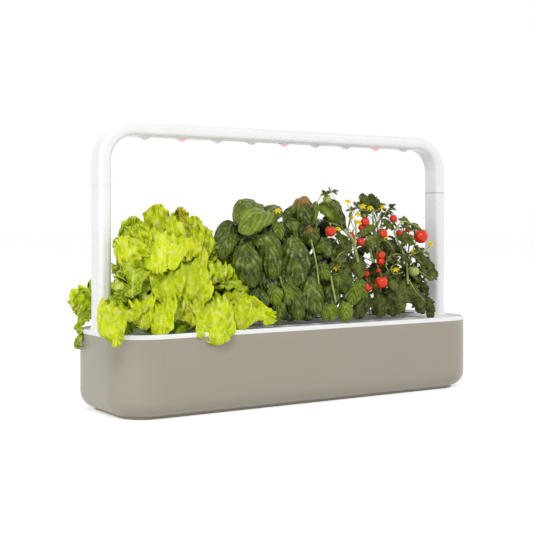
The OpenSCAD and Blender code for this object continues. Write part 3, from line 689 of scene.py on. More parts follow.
@dataclass
class Blade:
    """One leaf blade along a line, from its base to its tip."""

    line: Line
    width: float
    cut: Cut
    face: np.ndarray
    tone: float = 0.5
    stain: float = 0.0
    seed: int = 0
    twist: float = 0.0

    PUCKERS: ClassVar[int] = 6
    # Shares of the length: the middle of the rim's waves, the start of the end's rim, and the
    # place that a twist turns about
    MIDDLE: ClassVar[float] = 0.42
    END_RIM: ClassVar[float] = 0.72
    PIVOT: ClassVar[float] = 0.4
    # Share of the length by which a cut leaf's edges sweep to the tip
    SWEEP: ClassVar[float] = 0.10
    LEAST_ROLL: ClassVar[float] = 0.01
    # The heading at this share sets the leaf's right, unless it nearly follows the face
    TURNED_AT: ClassVar[float] = 0.55
    LEAST_SIDE: ClassVar[float] = 0.2

    def spare(self) -> np.ndarray:
        """Returns the phases, in radians, that make this leaf's waves its own."""
        return np.random.default_rng(self.seed).uniform(0, 2 * math.pi, 6 + self.PUCKERS)

    def angle(self, u: np.ndarray, t: np.ndarray) -> np.ndarray:
        """Returns the angles of places as seen from near the leaf's middle."""
        return np.arctan2(u, t - self.MIDDLE)

    def side(self) -> np.ndarray:
        """Returns the level or tilted direction from the midrib to the right edge."""
        middle = self.line.heading(np.array((self.TURNED_AT,)))[0]
        across = np.cross(middle, self.face)
        if np.linalg.norm(across) < self.LEAST_SIDE:
            across = VIEW.right
        return unit(across)

    def half_width(self, u: np.ndarray, t: np.ndarray, rim: np.ndarray) -> np.ndarray:
        """Works out the leaf's half width, with its lobes and notches.

        Args:
            u: from -1 at the left edge to 1 at the right edge.
            t: from 0 at the base to 1 at the tip.
            rim: how near the rim a place is, from 0 to 1.

        Returns:
            The half widths in millimetres.
        """
        cut, count = self.cut, self.cut.lobe_count
        angle, spare = self.angle(u, t), self.spare()
        swell = 0.6 * np.sin(count * angle + spare[0])
        swell = swell + 0.4 * np.sin((2 * count + 1) * angle + spare[1])
        half = self.width / 2 * cut.width_at(t) * (1 + cut.lobes * swell * rim)
        if cut.notches:
            lobe = 1 - (t * cut.notch_count + 0.15 * np.sign(u)) % 1.0
            tooth = 1 - (t * cut.notch_count * 3 + 0.3 * np.sign(u)) % 1.0
            depth = cut.notches * (0.75 * lobe + 0.25 * tooth)
            half = half * (1 - depth * np.clip(np.abs(u) * 1.5, 0, 1) * (1 - 0.5 * t))
        return half

    def relief(self, u: np.ndarray, t: np.ndarray, half: np.ndarray) -> np.ndarray:
        """Works out how far the quilting and the puckers lift the leaf.

        Args:
            u: from -1 at the left edge to 1 at the right edge.
            t: from 0 at the base to 1 at the tip.
            half: the half widths in millimetres.

        Returns:
            The lift in millimetres.
        """
        cut, spare, edge = self.cut, self.spare(), np.abs(u)
        lift = np.zeros_like(u)
        if cut.quilt_mm:
            phase = cut.quilt_count * (t - cut.quilt_slope * edge)
            puff = np.abs(np.cos(math.pi * phase)) ** 0.7
            puff = puff * np.clip(edge * 4, 0, 1) * np.clip((1 - edge) * 3.5, 0, 1)
            lift = lift + cut.quilt_mm * puff * np.sin(math.pi * np.clip(t, 0, 1)) ** 0.5
        if cut.pucker_mm:
            x, y = half * u, t * self.line.length
            for k in range(self.PUCKERS):
                way = spare[6] + k * 1.13
                size = cut.pucker_size_mm * (0.7 + 0.13 * k)
                turn = 2 * math.pi / size * (x * math.cos(way) + y * math.sin(way))
                wave = np.sin(turn + spare[6 + k])
                lift = lift + cut.pucker_mm / 2.4 * wave * np.clip(edge * 4, 0.15, 1)
        return lift

    def frill(
        self, u: np.ndarray, t: np.ndarray, rim: np.ndarray
    ) -> tuple[np.ndarray, np.ndarray]:
        """Works out how the frilled rim waves.

        Args:
            u: from -1 at the left edge to 1 at the right edge.
            t: from 0 at the base to 1 at the tip.
            rim: how near the rim a place is, from 0 to 1.

        Returns:
            How far it moves outwards and upwards, in millimetres.
        """
        count, angle, spare = self.cut.frill_count, self.angle(u, t), self.spare()
        wave = np.sin(count * angle + spare[2]) + 0.55 * np.sin(1.7 * count * angle + spare[3])
        up = self.cut.frill_mm * rim * wave * (0.75 + 0.25 * np.sin(2 * angle + spare[4]))
        out = 0.35 * self.cut.frill_mm * rim * np.cos(count * 1.3 * angle + spare[5]) * np.sign(u)
        return out, up

    def places(self, u: np.ndarray, t: np.ndarray) -> np.ndarray:
        """Lays the flat grid onto the leaf's form.

        Args:
            u: from -1 at the left edge to 1 at the right edge.
            t: from 0 at the base to 1 at the tip.

        Returns:
            The places in metres.
        """
        cut, edge = self.cut, np.abs(u)
        share = np.clip(t - cut.fan * u**2 * t, 0, 1)
        if cut.notches:
            share = np.clip(share + self.SWEEP * edge * (1 - t), 0, 1)
        end_rim = np.clip((t - self.END_RIM) / (1 - self.END_RIM), 0, 1) ** 3 if cut.fan else 0.0
        rim = np.maximum(edge**5, end_rim) * np.clip(t * 5 - 0.6, 0, 1)
        half = self.half_width(u, t, rim)
        roll = cut.roll if abs(cut.roll) > self.LEAST_ROLL else self.LEAST_ROLL
        out, up = self.frill(u, t, rim)
        reach = half * np.sin(roll * u) / roll + out
        lift = up - half * (1 - np.cos(roll * u)) / roll + self.relief(u, t, half)
        ahead = self.line.heading(share)
        normal = unit(np.cross(self.side(), ahead))
        across = np.cross(ahead, normal)
        turn = (self.twist * (share - self.PIVOT))[:, None]
        cos, sin = np.cos(turn), np.sin(turn)
        across, normal = across * cos + normal * sin, normal * cos - across * sin
        places = self.line.at(share) + across * reach[:, None] + normal * lift[:, None]
        places[:, 1] = np.maximum(places[:, 1], FRONT + SOFT * (places[:, 1] - FRONT))
        return places * MM


class Foliage:
    """The leaf blades of one plant, as one mesh with a UV map, tones and stains.

    A positive stain fades from the base over the lower part, and a negative one grows to the tip.
    """

    def __init__(self) -> None:
        """Starts with no leaves."""
        self.bm = bmesh.new()
        self.uv = self.bm.loops.layers.uv.new("blade")
        self.tone = self.bm.verts.layers.float.new("tone")
        self.stain = self.bm.verts.layers.float.new("stain")

    def add(self, blade: Blade) -> None:
        """Adds one blade.

        Args:
            blade: its line, width, cut, face and colours.
        """
        cut = blade.cut
        made = bmesh.ops.create_grid(
            self.bm, x_segments=cut.columns, y_segments=cut.rows, size=1.0, calc_uvs=True
        )["verts"]
        flat = np.array([v.co for v in made])
        u, t = flat[:, 0], (flat[:, 1] + 1) / 2
        fade = np.clip(1.15 - 2.4 * t, 0, 1) if blade.stain >= 0 else t**2
        for vert, place, mark in zip(made, blade.places(u, t), abs(blade.stain) * fade):
            vert.co = place
            vert[self.tone] = blade.tone
            vert[self.stain] = mark

    def mesh(self, name: str) -> Mesh:
        """Returns the blades as a smooth mesh."""
        return finish_mesh(self.bm, name)


def finish_mesh(bm: BMesh, name: str) -> Mesh:
    """Turns a bmesh into a smooth mesh.

    Args:
        bm: the shape, which is freed.
        name: the mesh's name.

    Returns:
        The mesh.
    """
    mesh = bpy.data.meshes.new(name)
    bm.to_mesh(mesh)
    bm.free()
    mesh.shade_smooth()
    return mesh


def put(name: str, data: bpy.types.ID) -> Object:
    """Puts a mesh, curve, light or camera into the scene as an object."""
    made = bpy.data.objects.new(name, data)
    bpy.context.scene.collection.objects.link(made)
    return made


def show(
    name: str,
    mesh: Mesh,
    finish: Material,
    body: str,
    stands_for: Sequence[str] = (),
) -> Object:
    """Puts a mesh into the scene as a piece that rides on a body.

    Args:
        name: the piece's name.
        mesh: its mesh, in place.
        finish: its material.
        body: the body that it moves with.
        stands_for: the CAD nodes that it replaces.

    Returns:
        The piece.
    """
    piece = put(name, mesh)
    mesh.materials.append(finish)
    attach(piece, body)
    if stands_for:
        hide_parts(*stands_for)
    LOG.info("%s rides on %s with %d faces", name, body, len(mesh.polygons))
    return piece


def thicken(piece: Object, thickness_mm: float) -> None:
    """Gives a sheet of blades its thickness, below the upper face."""
    wall = piece.modifiers.new("thickness", "SOLIDIFY")
    wall.thickness = thickness_mm * MM
    wall.offset = -1.0


class Stalks:
    """Round stems along smooth lines, which taper from their start to their end."""

    def __init__(self) -> None:
        """Starts with no stems."""
        self.curve = bpy.data.curves.new("stalks", "CURVE")
        self.curve.dimensions = "3D"
        self.curve.bevel_depth = 1.0
        self.curve.bevel_resolution = 2
        self.curve.use_fill_caps = True

    def add(
        self, points: Sequence[Sequence[float]], start: float, end: float, steps: int = 9
    ) -> None:
        """Adds a stem.

        Args:
            points: places that it passes, in millimetres.
            start: its thickness at the first of them.
            end: its thickness at the last.
            steps: points along its curve.
        """
        shares = np.linspace(0, 1, steps)
        places = Line(points).at(shares) * MM
        run = self.curve.splines.new("POLY")
        run.points.add(steps - 1)
        for point, place, share in zip(run.points, places, shares):
            point.co = (*place, 1.0)
            point.radius = (start + (end - start) * share) / 2 * MM

    def mesh(self, name: str) -> Mesh:
        """Turns the stems into a smooth mesh.

        Args:
            name: the mesh's name.

        Returns:
            The mesh.
        """
        holder = put(name, self.curve)
        bpy.context.view_layer.update()
        live = bpy.context.evaluated_depsgraph_get()
        made = bpy.data.meshes.new_from_object(holder.evaluated_get(live))
        made.name = name
        made.materials.clear()
        bpy.data.objects.remove(holder)
        made.shade_smooth()
        return made


# ---- Plants ----

POD_PITCH = 58.5
CROWN_Z = 115.8


def pod_x(pod: int) -> float:
    """Returns the place of a pod along the tray, for pods 0 to 8."""
    return (pod - 4) * POD_PITCH


class Kind(Enum):
    """The three kinds of plant, by the number of their first pod."""

    LETTUCE = 0
    BASIL = 3
    TOMATO = 6


def plant_name(pod: int) -> str:
    """Returns the name of a pod's plant, which its CAD node has too."""
    return f"{Kind(pod - pod % 3).name.lower()}_{pod % 3 + 1}"


@dataclass(frozen=True)
class Leaf:
    """A row of a plant's table: which pod, how wide, how pale, and the places that it passes."""

    pod: int
    width: float
    # The tone is partly the leaf's own and partly painted light and shade: low on leaves at the
    # back and below, which darken the gaps, and high on the upper leaves
    tone: float
    path: tuple[Place, ...] = ()
    stain: float = 0.0
    twist: float = 0.0

    def points(self) -> list[np.ndarray]:
        """Returns the places in millimetres."""
        return [VIEW.spot(*p) for p in self.path]


LETTUCE_CUT = Cut(
    columns=36, rows=34, neck=0.24, widest=0.70, end=0.82, rise=1.05, fall=0.9, fan=0.12,
    roll=-0.45, lobes=0.2, lobe_count=7, frill_mm=4.0, frill_count=19,
    pucker_mm=4.6, pucker_size_mm=12.0,
)
BASIL_CUT = Cut(
    columns=20, rows=26, neck=0.14, widest=0.46, end=0.03, rise=0.45, fall=0.5, roll=0.95,
    quilt_mm=3.4, quilt_count=4.0, quilt_slope=0.7, pucker_mm=1.2, pucker_size_mm=17.0,
)
TOMATO_CUT = Cut(
    columns=12, rows=40, neck=0.16, widest=0.42, end=0.04, rise=0.5, fall=0.65, roll=0.7,
    notches=0.58, notch_count=3.2, quilt_mm=1.0, quilt_count=6.0, quilt_slope=0.6,
    pucker_mm=1.2, pucker_size_mm=14.0,
)
LEAFLET_CUT = replace(TOMATO_CUT, columns=8, rows=32)
SPRIG_CUT = Cut(
    columns=6, rows=12, neck=0.2, widest=0.4, end=0.03, roll=0.8, notches=0.3, notch_count=3.0
)
SEPAL_CUT = Cut(columns=4, rows=8, neck=0.4, widest=0.3, end=0.03, roll=0.5, thickness_mm=0.3)
PETAL_CUT = replace(SEPAL_CUT, neck=0.5, widest=0.4, end=0.1)
CONE_CUT = replace(PETAL_CUT, roll=2.6)

LETTUCE_LEAVES = (
    Leaf(0, 52, 0.90, ((155, 268, 5), (158, 234, 14), (157, 204, 10))),
    Leaf(0, 72, 1.00, ((158, 238, -12), (162, 243, -40), (160, 274, -62))),
    Leaf(0, 48, 0.90, ((140, 285, -20), (130, 258, -36), (121, 236, -30)), twist=0.6),
    Leaf(0, 38, 0.55, ((138, 270, -10), (128, 244, -16), (124, 226, -12)), twist=-0.5),
    Leaf(0, 44, 0.75, ((142, 266, 5), (133, 238, 12), (133, 216, 6))),
    Leaf(1, 36, 0.65, ((181, 262, 0), (181, 232, 6), (180, 207, 0)), stain=-0.8),
    Leaf(1, 48, 0.85, ((188, 275, -5), (198, 246, -12), (203, 225, -10)), twist=-0.4),
    Leaf(1, 40, 0.95, ((184, 268, -2), (192, 240, -6), (195, 216, -4)), twist=0.3),
    Leaf(1, 42, 1.00, ((184, 244, -26), (187, 242, -42), (185, 262, -52)), stain=-0.3),
    Leaf(1, 60, 0.85, ((186, 262, -32), (189, 270, -52), (195, 311, -66))),
    Leaf(0, 54, 0.75, ((160, 268, -30), (164, 280, -55), (171, 307, -66))),
    Leaf(0, 44, 0.40, ((143, 280, -22), (134, 270, -45), (132, 298, -62))),
    Leaf(0, 47, 0.85, ((133, 310, -50), (117, 315, -74), (114, 329, -92), (119, 346, -98))),
    Leaf(0, 34, 0.95, ((142, 299, -44), (144, 305, -66), (141, 329, -82))),
    Leaf(0, 42, 1.00, ((160, 303, -48), (163, 309, -72), (160, 336, -88))),
    Leaf(1, 42, 0.85, ((188, 302, -45), (192, 308, -68), (194, 326, -80)), stain=-0.3),
    Leaf(1, 60, 0.85, ((204, 304, -50), (212, 310, -84), (220, 345, -101))),
    Leaf(1, 32, 0.95, ((208, 302, -50), (212, 308, -70), (216, 328, -82))),
    Leaf(2, 22, 1.00, ((214, 305, -44), (232, 300, -58), (250, 297, -62))),
    Leaf(2, 38, 0.90, ((238, 300, -50), (241, 306, -72), (241, 331, -88))),
    Leaf(2, 34, 0.95, ((244, 314, -60), (258, 313, -74), (275, 322, -84))),
    Leaf(2, 34, 0.40, ((212, 284, -26), (230, 281, -46), (248, 291, -54))),
    Leaf(2, 28, 0.75, ((224, 286, -30), (224, 266, -44), (223, 284, -52))),
    Leaf(2, 28, 0.80, ((213, 282, 0), (219, 258, -15), (228, 243, -20))),
    Leaf(2, 44, 0.60, ((212, 280, -20), (211, 262, -44), (211, 286, -60))),
    Leaf(0, 56, 0.65, ((108, 306, 38), (94, 294, 48), (77, 316, 52))),
    Leaf(0, 17, 0.10, ((96, 316, 42), (82, 320, 46), (77, 349, 42))),
    Leaf(0, 46, 0.30, ((130, 300, -20), (119, 290, -30), (116, 306, -50))),
    Leaf(1, 54, 0.20, ((180, 300, -30), (182, 296, -48), (184, 318, -66))),
    # Near-black leaves behind the front ones: dark sheets that paint the shade in the gaps
    Leaf(0, 46, 0.05, ((128, 298, -30), (129, 306, -48), (127, 334, -66))),
    Leaf(0, 46, 0.02, ((150, 298, -30), (152, 306, -48), (150, 334, -66))),
    Leaf(1, 50, 0.05, ((176, 298, -30), (178, 306, -48), (179, 334, -66))),
    Leaf(2, 50, 0.02, ((224, 294, -24), (229, 302, -40), (230, 330, -54))),
    Leaf(1, 44, 0.55, ((168, 300, -38), (170, 304, -58), (172, 322, -74))),
    Leaf(0, 42, 0.95, ((145, 262, -8), (142, 242, -22), (138, 224, -18)), twist=0.4),
    Leaf(0, 42, 0.20, ((148, 284, -20), (143, 274, -38), (140, 296, -54))),
    Leaf(0, 40, 0.30, ((132, 292, -24), (124, 280, -40), (120, 300, -54))),
    Leaf(1, 42, 0.95, ((172, 258, -8), (174, 236, -20), (170, 216, -14)), twist=-0.4),
    Leaf(1, 42, 0.70, ((196, 268, -20), (200, 262, -42), (204, 284, -58))),
)

BASIL_LEAVES = (
    Leaf(3, 44, 0.55, ((262, 205, -6), (247, 203, -20), (236, 223, -26))),
    Leaf(3, 50, 0.78, ((272, 213, -25), (257, 213, -46), (241, 234, -50))),
    Leaf(3, 40, 0.22, ((252, 222, 8), (243, 225, 0), (239, 247, -6))),
    Leaf(3, 38, 0.35, ((241, 225, 0), (229, 225, -5), (216, 242, -8))),
    Leaf(3, 32, 0.50, ((240, 236, -20), (228, 239, -30), (221, 260, -36))),
    Leaf(3, 52, 0.32, ((243, 243, -44), (248, 262, -62), (254, 288, -60))),
    Leaf(3, 44, 0.40, ((251, 236, -40), (268, 242, -58), (275, 280, -58))),
    Leaf(4, 32, 0.62, ((276, 221, -40), (277, 230, -50), (279, 241, -50))),
    Leaf(4, 54, 0.34, ((292, 236, -50), (296, 258, -66), (298, 287, -62))),
    Leaf(4, 42, 0.45, ((284, 221, -15), (297, 225, -25), (309, 243, -30))),
    Leaf(4, 44, 0.30, ((303, 196, -14), (303, 208, -30), (307, 226, -30)), stain=1.0),
    Leaf(5, 48, 0.34, ((318, 206, 6), (332, 207, -5), (345, 230, -8))),
    Leaf(5, 16, 1.00, ((316, 201, -15), (314, 212, -18), (311, 225, -20))),
    Leaf(5, 15, 1.00, ((317, 206, -12), (325, 210, -20), (335, 221, -20))),
    Leaf(5, 34, 0.35, ((309, 226, -30), (312, 233, -40), (316, 246, -40)), stain=0.8),
    Leaf(5, 50, 0.45, ((309, 276, -57), (312, 292, -64), (318, 314, -64))),
    Leaf(4, 30, 0.85, ((272, 285, -58), (275, 293, -63), (277, 306, -63))),
    Leaf(4, 28, 0.75, ((284, 286, -58), (288, 293, -62), (290, 306, -62))),
    Leaf(4, 36, 0.38, ((287, 281, -58), (296, 300, -65), (301, 321, -66))),
    Leaf(3, 38, 0.28, ((258, 288, -57), (258, 300, -62), (257, 315, -63))),
    Leaf(5, 27, 0.85, ((333, 303, -64), (332, 311, -68), (334, 321, -68))),
    Leaf(5, 29, 0.92, ((344, 302, -64), (346, 312, -68), (346, 322, -68))),
    Leaf(5, 20, 0.80, ((327, 303, -62), (325, 311, -65), (324, 320, -65))),
    Leaf(5, 36, 0.75, ((356, 283, -57), (352, 293, -62), (351, 306, -62))),
    Leaf(5, 32, 0.75, ((356, 279, -56), (362, 287, -60), (366, 300, -59))),
    Leaf(5, 30, 0.60, ((318, 263, -50), (325, 269, -58), (331, 280, -56))),
    Leaf(5, 32, 0.40, ((330, 274, -50), (340, 278, -60), (349, 292, -60))),
    Leaf(5, 30, 0.35, ((314, 249, -40), (326, 245, -52), (337, 257, -50))),
    Leaf(4, 18, 0.80, ((272, 314, -64), (276, 316, -67), (279, 325, -68))),
    Leaf(4, 26, 0.55, ((275, 302, -60), (280, 308, -64), (283, 319, -64))),
    Leaf(4, 38, 0.42, ((278, 206, -5), (272, 209, -20), (267, 223, -26))),
    Leaf(4, 22, 0.45, ((294, 206, -5), (289, 212, -12), (285, 223, -15)), stain=0.9),
    # Dark leaves of low tone at the back: partly painted shade in the gaps between the leaves
    Leaf(3, 40, 0.20, ((243, 262, -30), (234, 264, -40), (232, 286, -44))),
    Leaf(4, 40, 0.14, ((284, 258, -40), (284, 274, -52), (282, 294, -52))),
    Leaf(4, 40, 0.12, ((296, 282, -44), (300, 294, -55), (296, 310, -56))),
    Leaf(3, 42, 0.10, ((264, 270, -36), (268, 284, -50), (266, 302, -52))),
    Leaf(5, 40, 0.12, ((318, 250, -36), (316, 264, -48), (312, 282, -48))),
    Leaf(5, 38, 0.10, ((326, 280, -44), (330, 294, -54), (326, 310, -56))),
    Leaf(5, 38, 0.14, ((338, 262, -36), (342, 276, -46), (338, 294, -50))),
    Leaf(4, 36, 0.10, ((272, 292, -30), (274, 304, -44), (270, 318, -50))),
    Leaf(5, 36, 0.10, ((312, 292, -36), (310, 304, -50), (306, 318, -54))),
    Leaf(3, 34, 0.20, ((253, 236, -30), (247, 240, -40), (244, 255, -44))),
    Leaf(4, 36, 0.10, ((290, 300, -40), (291, 308, -52), (289, 321, -56))),
    Leaf(5, 36, 0.10, ((304, 303, -40), (307, 311, -52), (307, 321, -56))),
)

TOMATO_LEAVES = (
    Leaf(7, 30, 0.20, ((371, 214, -20), (366, 203, -22), (362, 193, -18))),
    Leaf(7, 24, 0.15, ((371, 212, -18), (374, 202, -20), (369, 194, -20))),
    Leaf(7, 18, 0.20, ((372, 204, -20), (377, 205, -25), (379, 213, -28))),
    Leaf(7, 24, 0.35, ((368, 205, -15), (365, 210, -24), (364, 219, -28))),
    Leaf(7, 16, 0.60, ((373, 203, -10), (377, 200, -14), (381, 203, -16))),
    Leaf(7, 26, 0.62, ((378, 226, -40), (369, 226, -46), (360, 235, -46))),
    Leaf(7, 28, 0.62, ((366, 234, -44), (370, 239, -50), (372, 251, -50))),
    Leaf(7, 24, 0.55, ((380, 219, -30), (386, 221, -36), (395, 229, -36)), stain=-0.5),
    Leaf(6, 28, 0.45, ((352, 242, -40), (344, 246, -46), (337, 259, -48))),
    Leaf(6, 36, 0.20, ((362, 256, -52), (359, 266, -61), (360, 279, -60)), stain=-0.5),
    Leaf(7, 34, 0.15, ((380, 240, -30), (389, 244, -38), (400, 255, -40))),
    Leaf(7, 30, 0.25, ((382, 250, -34), (390, 254, -40), (393, 266, -42))),
    Leaf(8, 30, 0.65, ((397, 233, -30), (405, 235, -36), (415, 244, -38)), stain=-0.6),
    Leaf(8, 34, 0.20, ((408, 253, -30), (421, 256, -40), (434, 270, -42))),
    Leaf(8, 30, 0.15, ((416, 256, -34), (428, 262, -42), (438, 277, -44))),
    Leaf(8, 26, 0.30, ((413, 268, -36), (424, 270, -46), (434, 280, -46)), stain=-0.4),
    Leaf(8, 46, 0.34, ((404, 279, -55), (400, 294, -63), (398, 314, -63))),
    Leaf(8, 34, 0.30, ((406, 280, -55), (413, 290, -62), (415, 306, -62))),
    Leaf(8, 40, 0.22, ((412, 290, -55), (420, 301, -60), (424, 314, -59))),
    Leaf(8, 24, 0.20, ((424, 294, -50), (430, 305, -57), (431, 321, -57))),
    Leaf(8, 26, 0.06, ((414, 284, -40), (421, 286, -48), (430, 294, -46))),
    Leaf(7, 44, 0.12, ((371, 295, -57), (362, 303, -64), (356, 319, -64))),
    Leaf(7, 46, 0.16, ((378, 291, -57), (380, 303, -64), (380, 318, -64))),
    Leaf(7, 40, 0.14, ((386, 289, -56), (391, 300, -63), (394, 317, -64))),
    Leaf(6, 26, 0.50, ((346, 256, -45), (338, 259, -54), (329, 270, -52))),
    Leaf(6, 24, 0.40, ((350, 264, -45), (344, 272, -54), (340, 285, -52))),
    Leaf(6, 22, 0.70, ((338, 244, -30), (345, 245, -38), (352, 251, -38))),
    Leaf(8, 24, 0.55, ((398, 262, -46), (404, 256, -54), (412, 262, -54))),
    Leaf(8, 22, 0.75, ((398, 219, -24), (404, 219, -30), (411, 225, -32))),
    Leaf(8, 18, 0.70, ((409, 223, -20), (415, 225, -28), (421, 230, -30))),
    Leaf(7, 34, 0.15, ((386, 264, -44), (394, 270, -54), (399, 285, -54))),
    Leaf(6, 26, 0.30, ((336, 256, -44), (338, 266, -52), (334, 281, -54))),
    Leaf(6, 24, 0.60, ((334, 236, -30), (341, 237, -36), (349, 244, -38))),
    Leaf(7, 34, 0.10, ((372, 262, -20), (374, 274, -30), (372, 290, -36))),
    Leaf(7, 34, 0.10, ((396, 276, -20), (398, 288, -34), (394, 302, -40))),
    Leaf(8, 30, 0.12, ((412, 262, -16), (416, 274, -26), (414, 290, -34))),
)

# Column, row, depth, radius in pixels, and ripeness from 0 green to 1 red
FRUITS = (
    (6, 330.7, 231.4, -48, 5.6, 0.97),
    (7, 365.3, 221.8, -44, 4.6, 1.0),
    (7, 361.0, 227.6, -40, 3.0, 1.0),
    (6, 296.8, 222.0, -20, 2.4, 0.95),
    (7, 393.4, 218.8, -40, 4.0, 1.0),
    (8, 420.8, 236.3, -42, 7.5, 1.0),
    (7, 382.6, 233.5, -50, 5.0, 0.98),
    (6, 360.8, 241.9, -48, 4.5, 0.96),
    (7, 380.8, 255.0, -52, 4.8, 0.98),
    (7, 380.8, 261.2, -50, 4.6, 0.98),
    (7, 381.6, 282.3, -66, 6.5, 0.98),
    (7, 367.9, 286.8, -60, 5.2, 0.94),
    (8, 408.3, 230.0, -38, 2.7, 0.95),
    (6, 351.0, 235.6, -40, 3.6, 0.97),
    (6, 323.0, 244.0, -44, 3.4, 0.95),
    (7, 378.4, 270.7, -54, 2.6, 0.95),
    (8, 413.8, 271.2, -56, 5.5, 0.0),
    (6, 327.0, 199.2, -16, 4.4, 0.0),
    (8, 399.0, 233.0, -34, 3.4, 0.98),
    (6, 365.5, 274.0, -48, 4.2, 0.99),
)

# Pod, column, row and depth of each tuft of leaflets
SPRIGS = (
    (7, 386, 212, -30), (7, 390, 208, -30), (7, 384, 217, -32), (7, 379, 206, -24),
    (6, 360, 200, -26), (6, 355, 206, -28), (6, 352, 211, -32), (8, 398, 240, -48),
    (8, 402, 247, -50), (8, 395, 262, -60), (8, 391, 257, -60), (7, 384, 227, -44),
    (6, 343, 239, -48), (6, 337, 233, -46), (8, 410, 240, -44), (8, 416, 250, -46),
    (8, 422, 252, -44), (7, 392, 222, -40), (8, 405, 228, -40), (8, 412, 231, -42),
    (7, 378, 238, -52), (7, 371, 284, -64), (8, 388, 276, -64), (6, 341, 246, -52),
    (6, 334, 262, -56), (6, 331, 192, -16), (6, 323, 194, -18), (7, 376, 247, -54),
    (8, 401, 266, -62), (7, 366, 246, -54),
)

# Pod, thickness in millimetres, and the places that each bare stem passes
TWIGS = (
    (5, 2.6, ((311, 240, -66), (316, 262, -68), (319, 284, -66))),
    (5, 2.8, ((331, 276, -72), (333, 288, -74), (336, 302, -72))),
    (4, 2.0, ((280, 276, -70), (282, 284, -70), (285, 290, -66))),
    (5, 1.6, ((309, 222, -30), (314, 210, -24), (320, 197, -20), (325, 193, -16))),
    (6, 5.0, ((358, 262, -56), (355, 248, -56), (352, 238, -50), (344, 230, -40))),
    (6, 3.0, ((354, 246, -50), (356, 232, -48), (355, 220, -40))),
    (7, 3.4, ((373, 262, -52), (369, 246, -52), (366, 236, -50))),
    (7, 3.2, ((376, 240, -44), (373, 224, -38), (373, 208, -30))),
    (7, 2.4, ((377, 256, -50), (378, 244, -50), (381, 228, -44))),
    (7, 1.6, ((374, 212, -32), (383, 208, -32), (391, 214, -36), (394, 217, -38))),
    (8, 3.6, ((408, 284, -60), (406, 262, -58), (399, 244, -50), (394, 232, -44))),
    (8, 3.0, ((394, 232, -44), (402, 222, -42), (412, 224, -42), (421, 229, -42))),
    (8, 1.8, ((404, 256, -56), (396, 254, -58), (388, 258, -60), (386, 266, -60), (390, 273, -60))),
    (8, 1.6, ((404, 262, -58), (396, 264, -62), (391, 268, -62), (394, 274, -62), (403, 272, -60))),
    (8, 2.0, ((408, 268, -58), (420, 272, -56), (432, 280, -52))),
    (8, 1.8, ((409, 256, -56), (418, 252, -50), (428, 248, -44), (431, 244, -40))),
    (8, 1.6, ((409, 280, -62), (416, 292, -66), (424, 300, -64))),
    (6, 1.8, ((351, 238, -48), (344, 236, -46), (336, 240, -44), (330, 246, -42))),
    (6, 1.6, ((349, 250, -50), (340, 254, -52), (333, 264, -52))),
    (6, 1.4, ((357, 232, -46), (352, 224, -40), (350, 212, -34), (347, 203, -26))),
    (7, 1.4, ((371, 212, -30), (364, 210, -30), (357, 212, -32))),
    (7, 1.4, ((377, 244, -50), (384, 240, -52), (390, 244, -52), (394, 252, -52))),
    (6, 1.4, ((326, 194, -18), (331, 190, -16), (334, 193, -16))),
)

# Pod, column, row and depth of each flower
FLOWERS = (
    (4, 278.0, 210.5, -44),
    (6, 351.3, 217.2, -34),
    (6, 358.0, 214.4, -34),
    (6, 358.2, 222.4, -44),
    (7, 362.6, 206.3, -30),
    (7, 369.8, 208.0, -32),
    (7, 381.6, 207.0, -30),
    (6, 347.8, 201.5, -26),
    (7, 386.0, 236.6, -52),
    (8, 430.6, 244.0, -40),
    (8, 414.0, 251.0, -44),
    (6, 336.6, 267.5, -58),
    (7, 395.5, 269.5, -62),
    (6, 338.0, 229.0, -46),
)


# Share of a filling leaf's reach that is kept along the tray, where its neighbours stand
CROWDED = 0.8


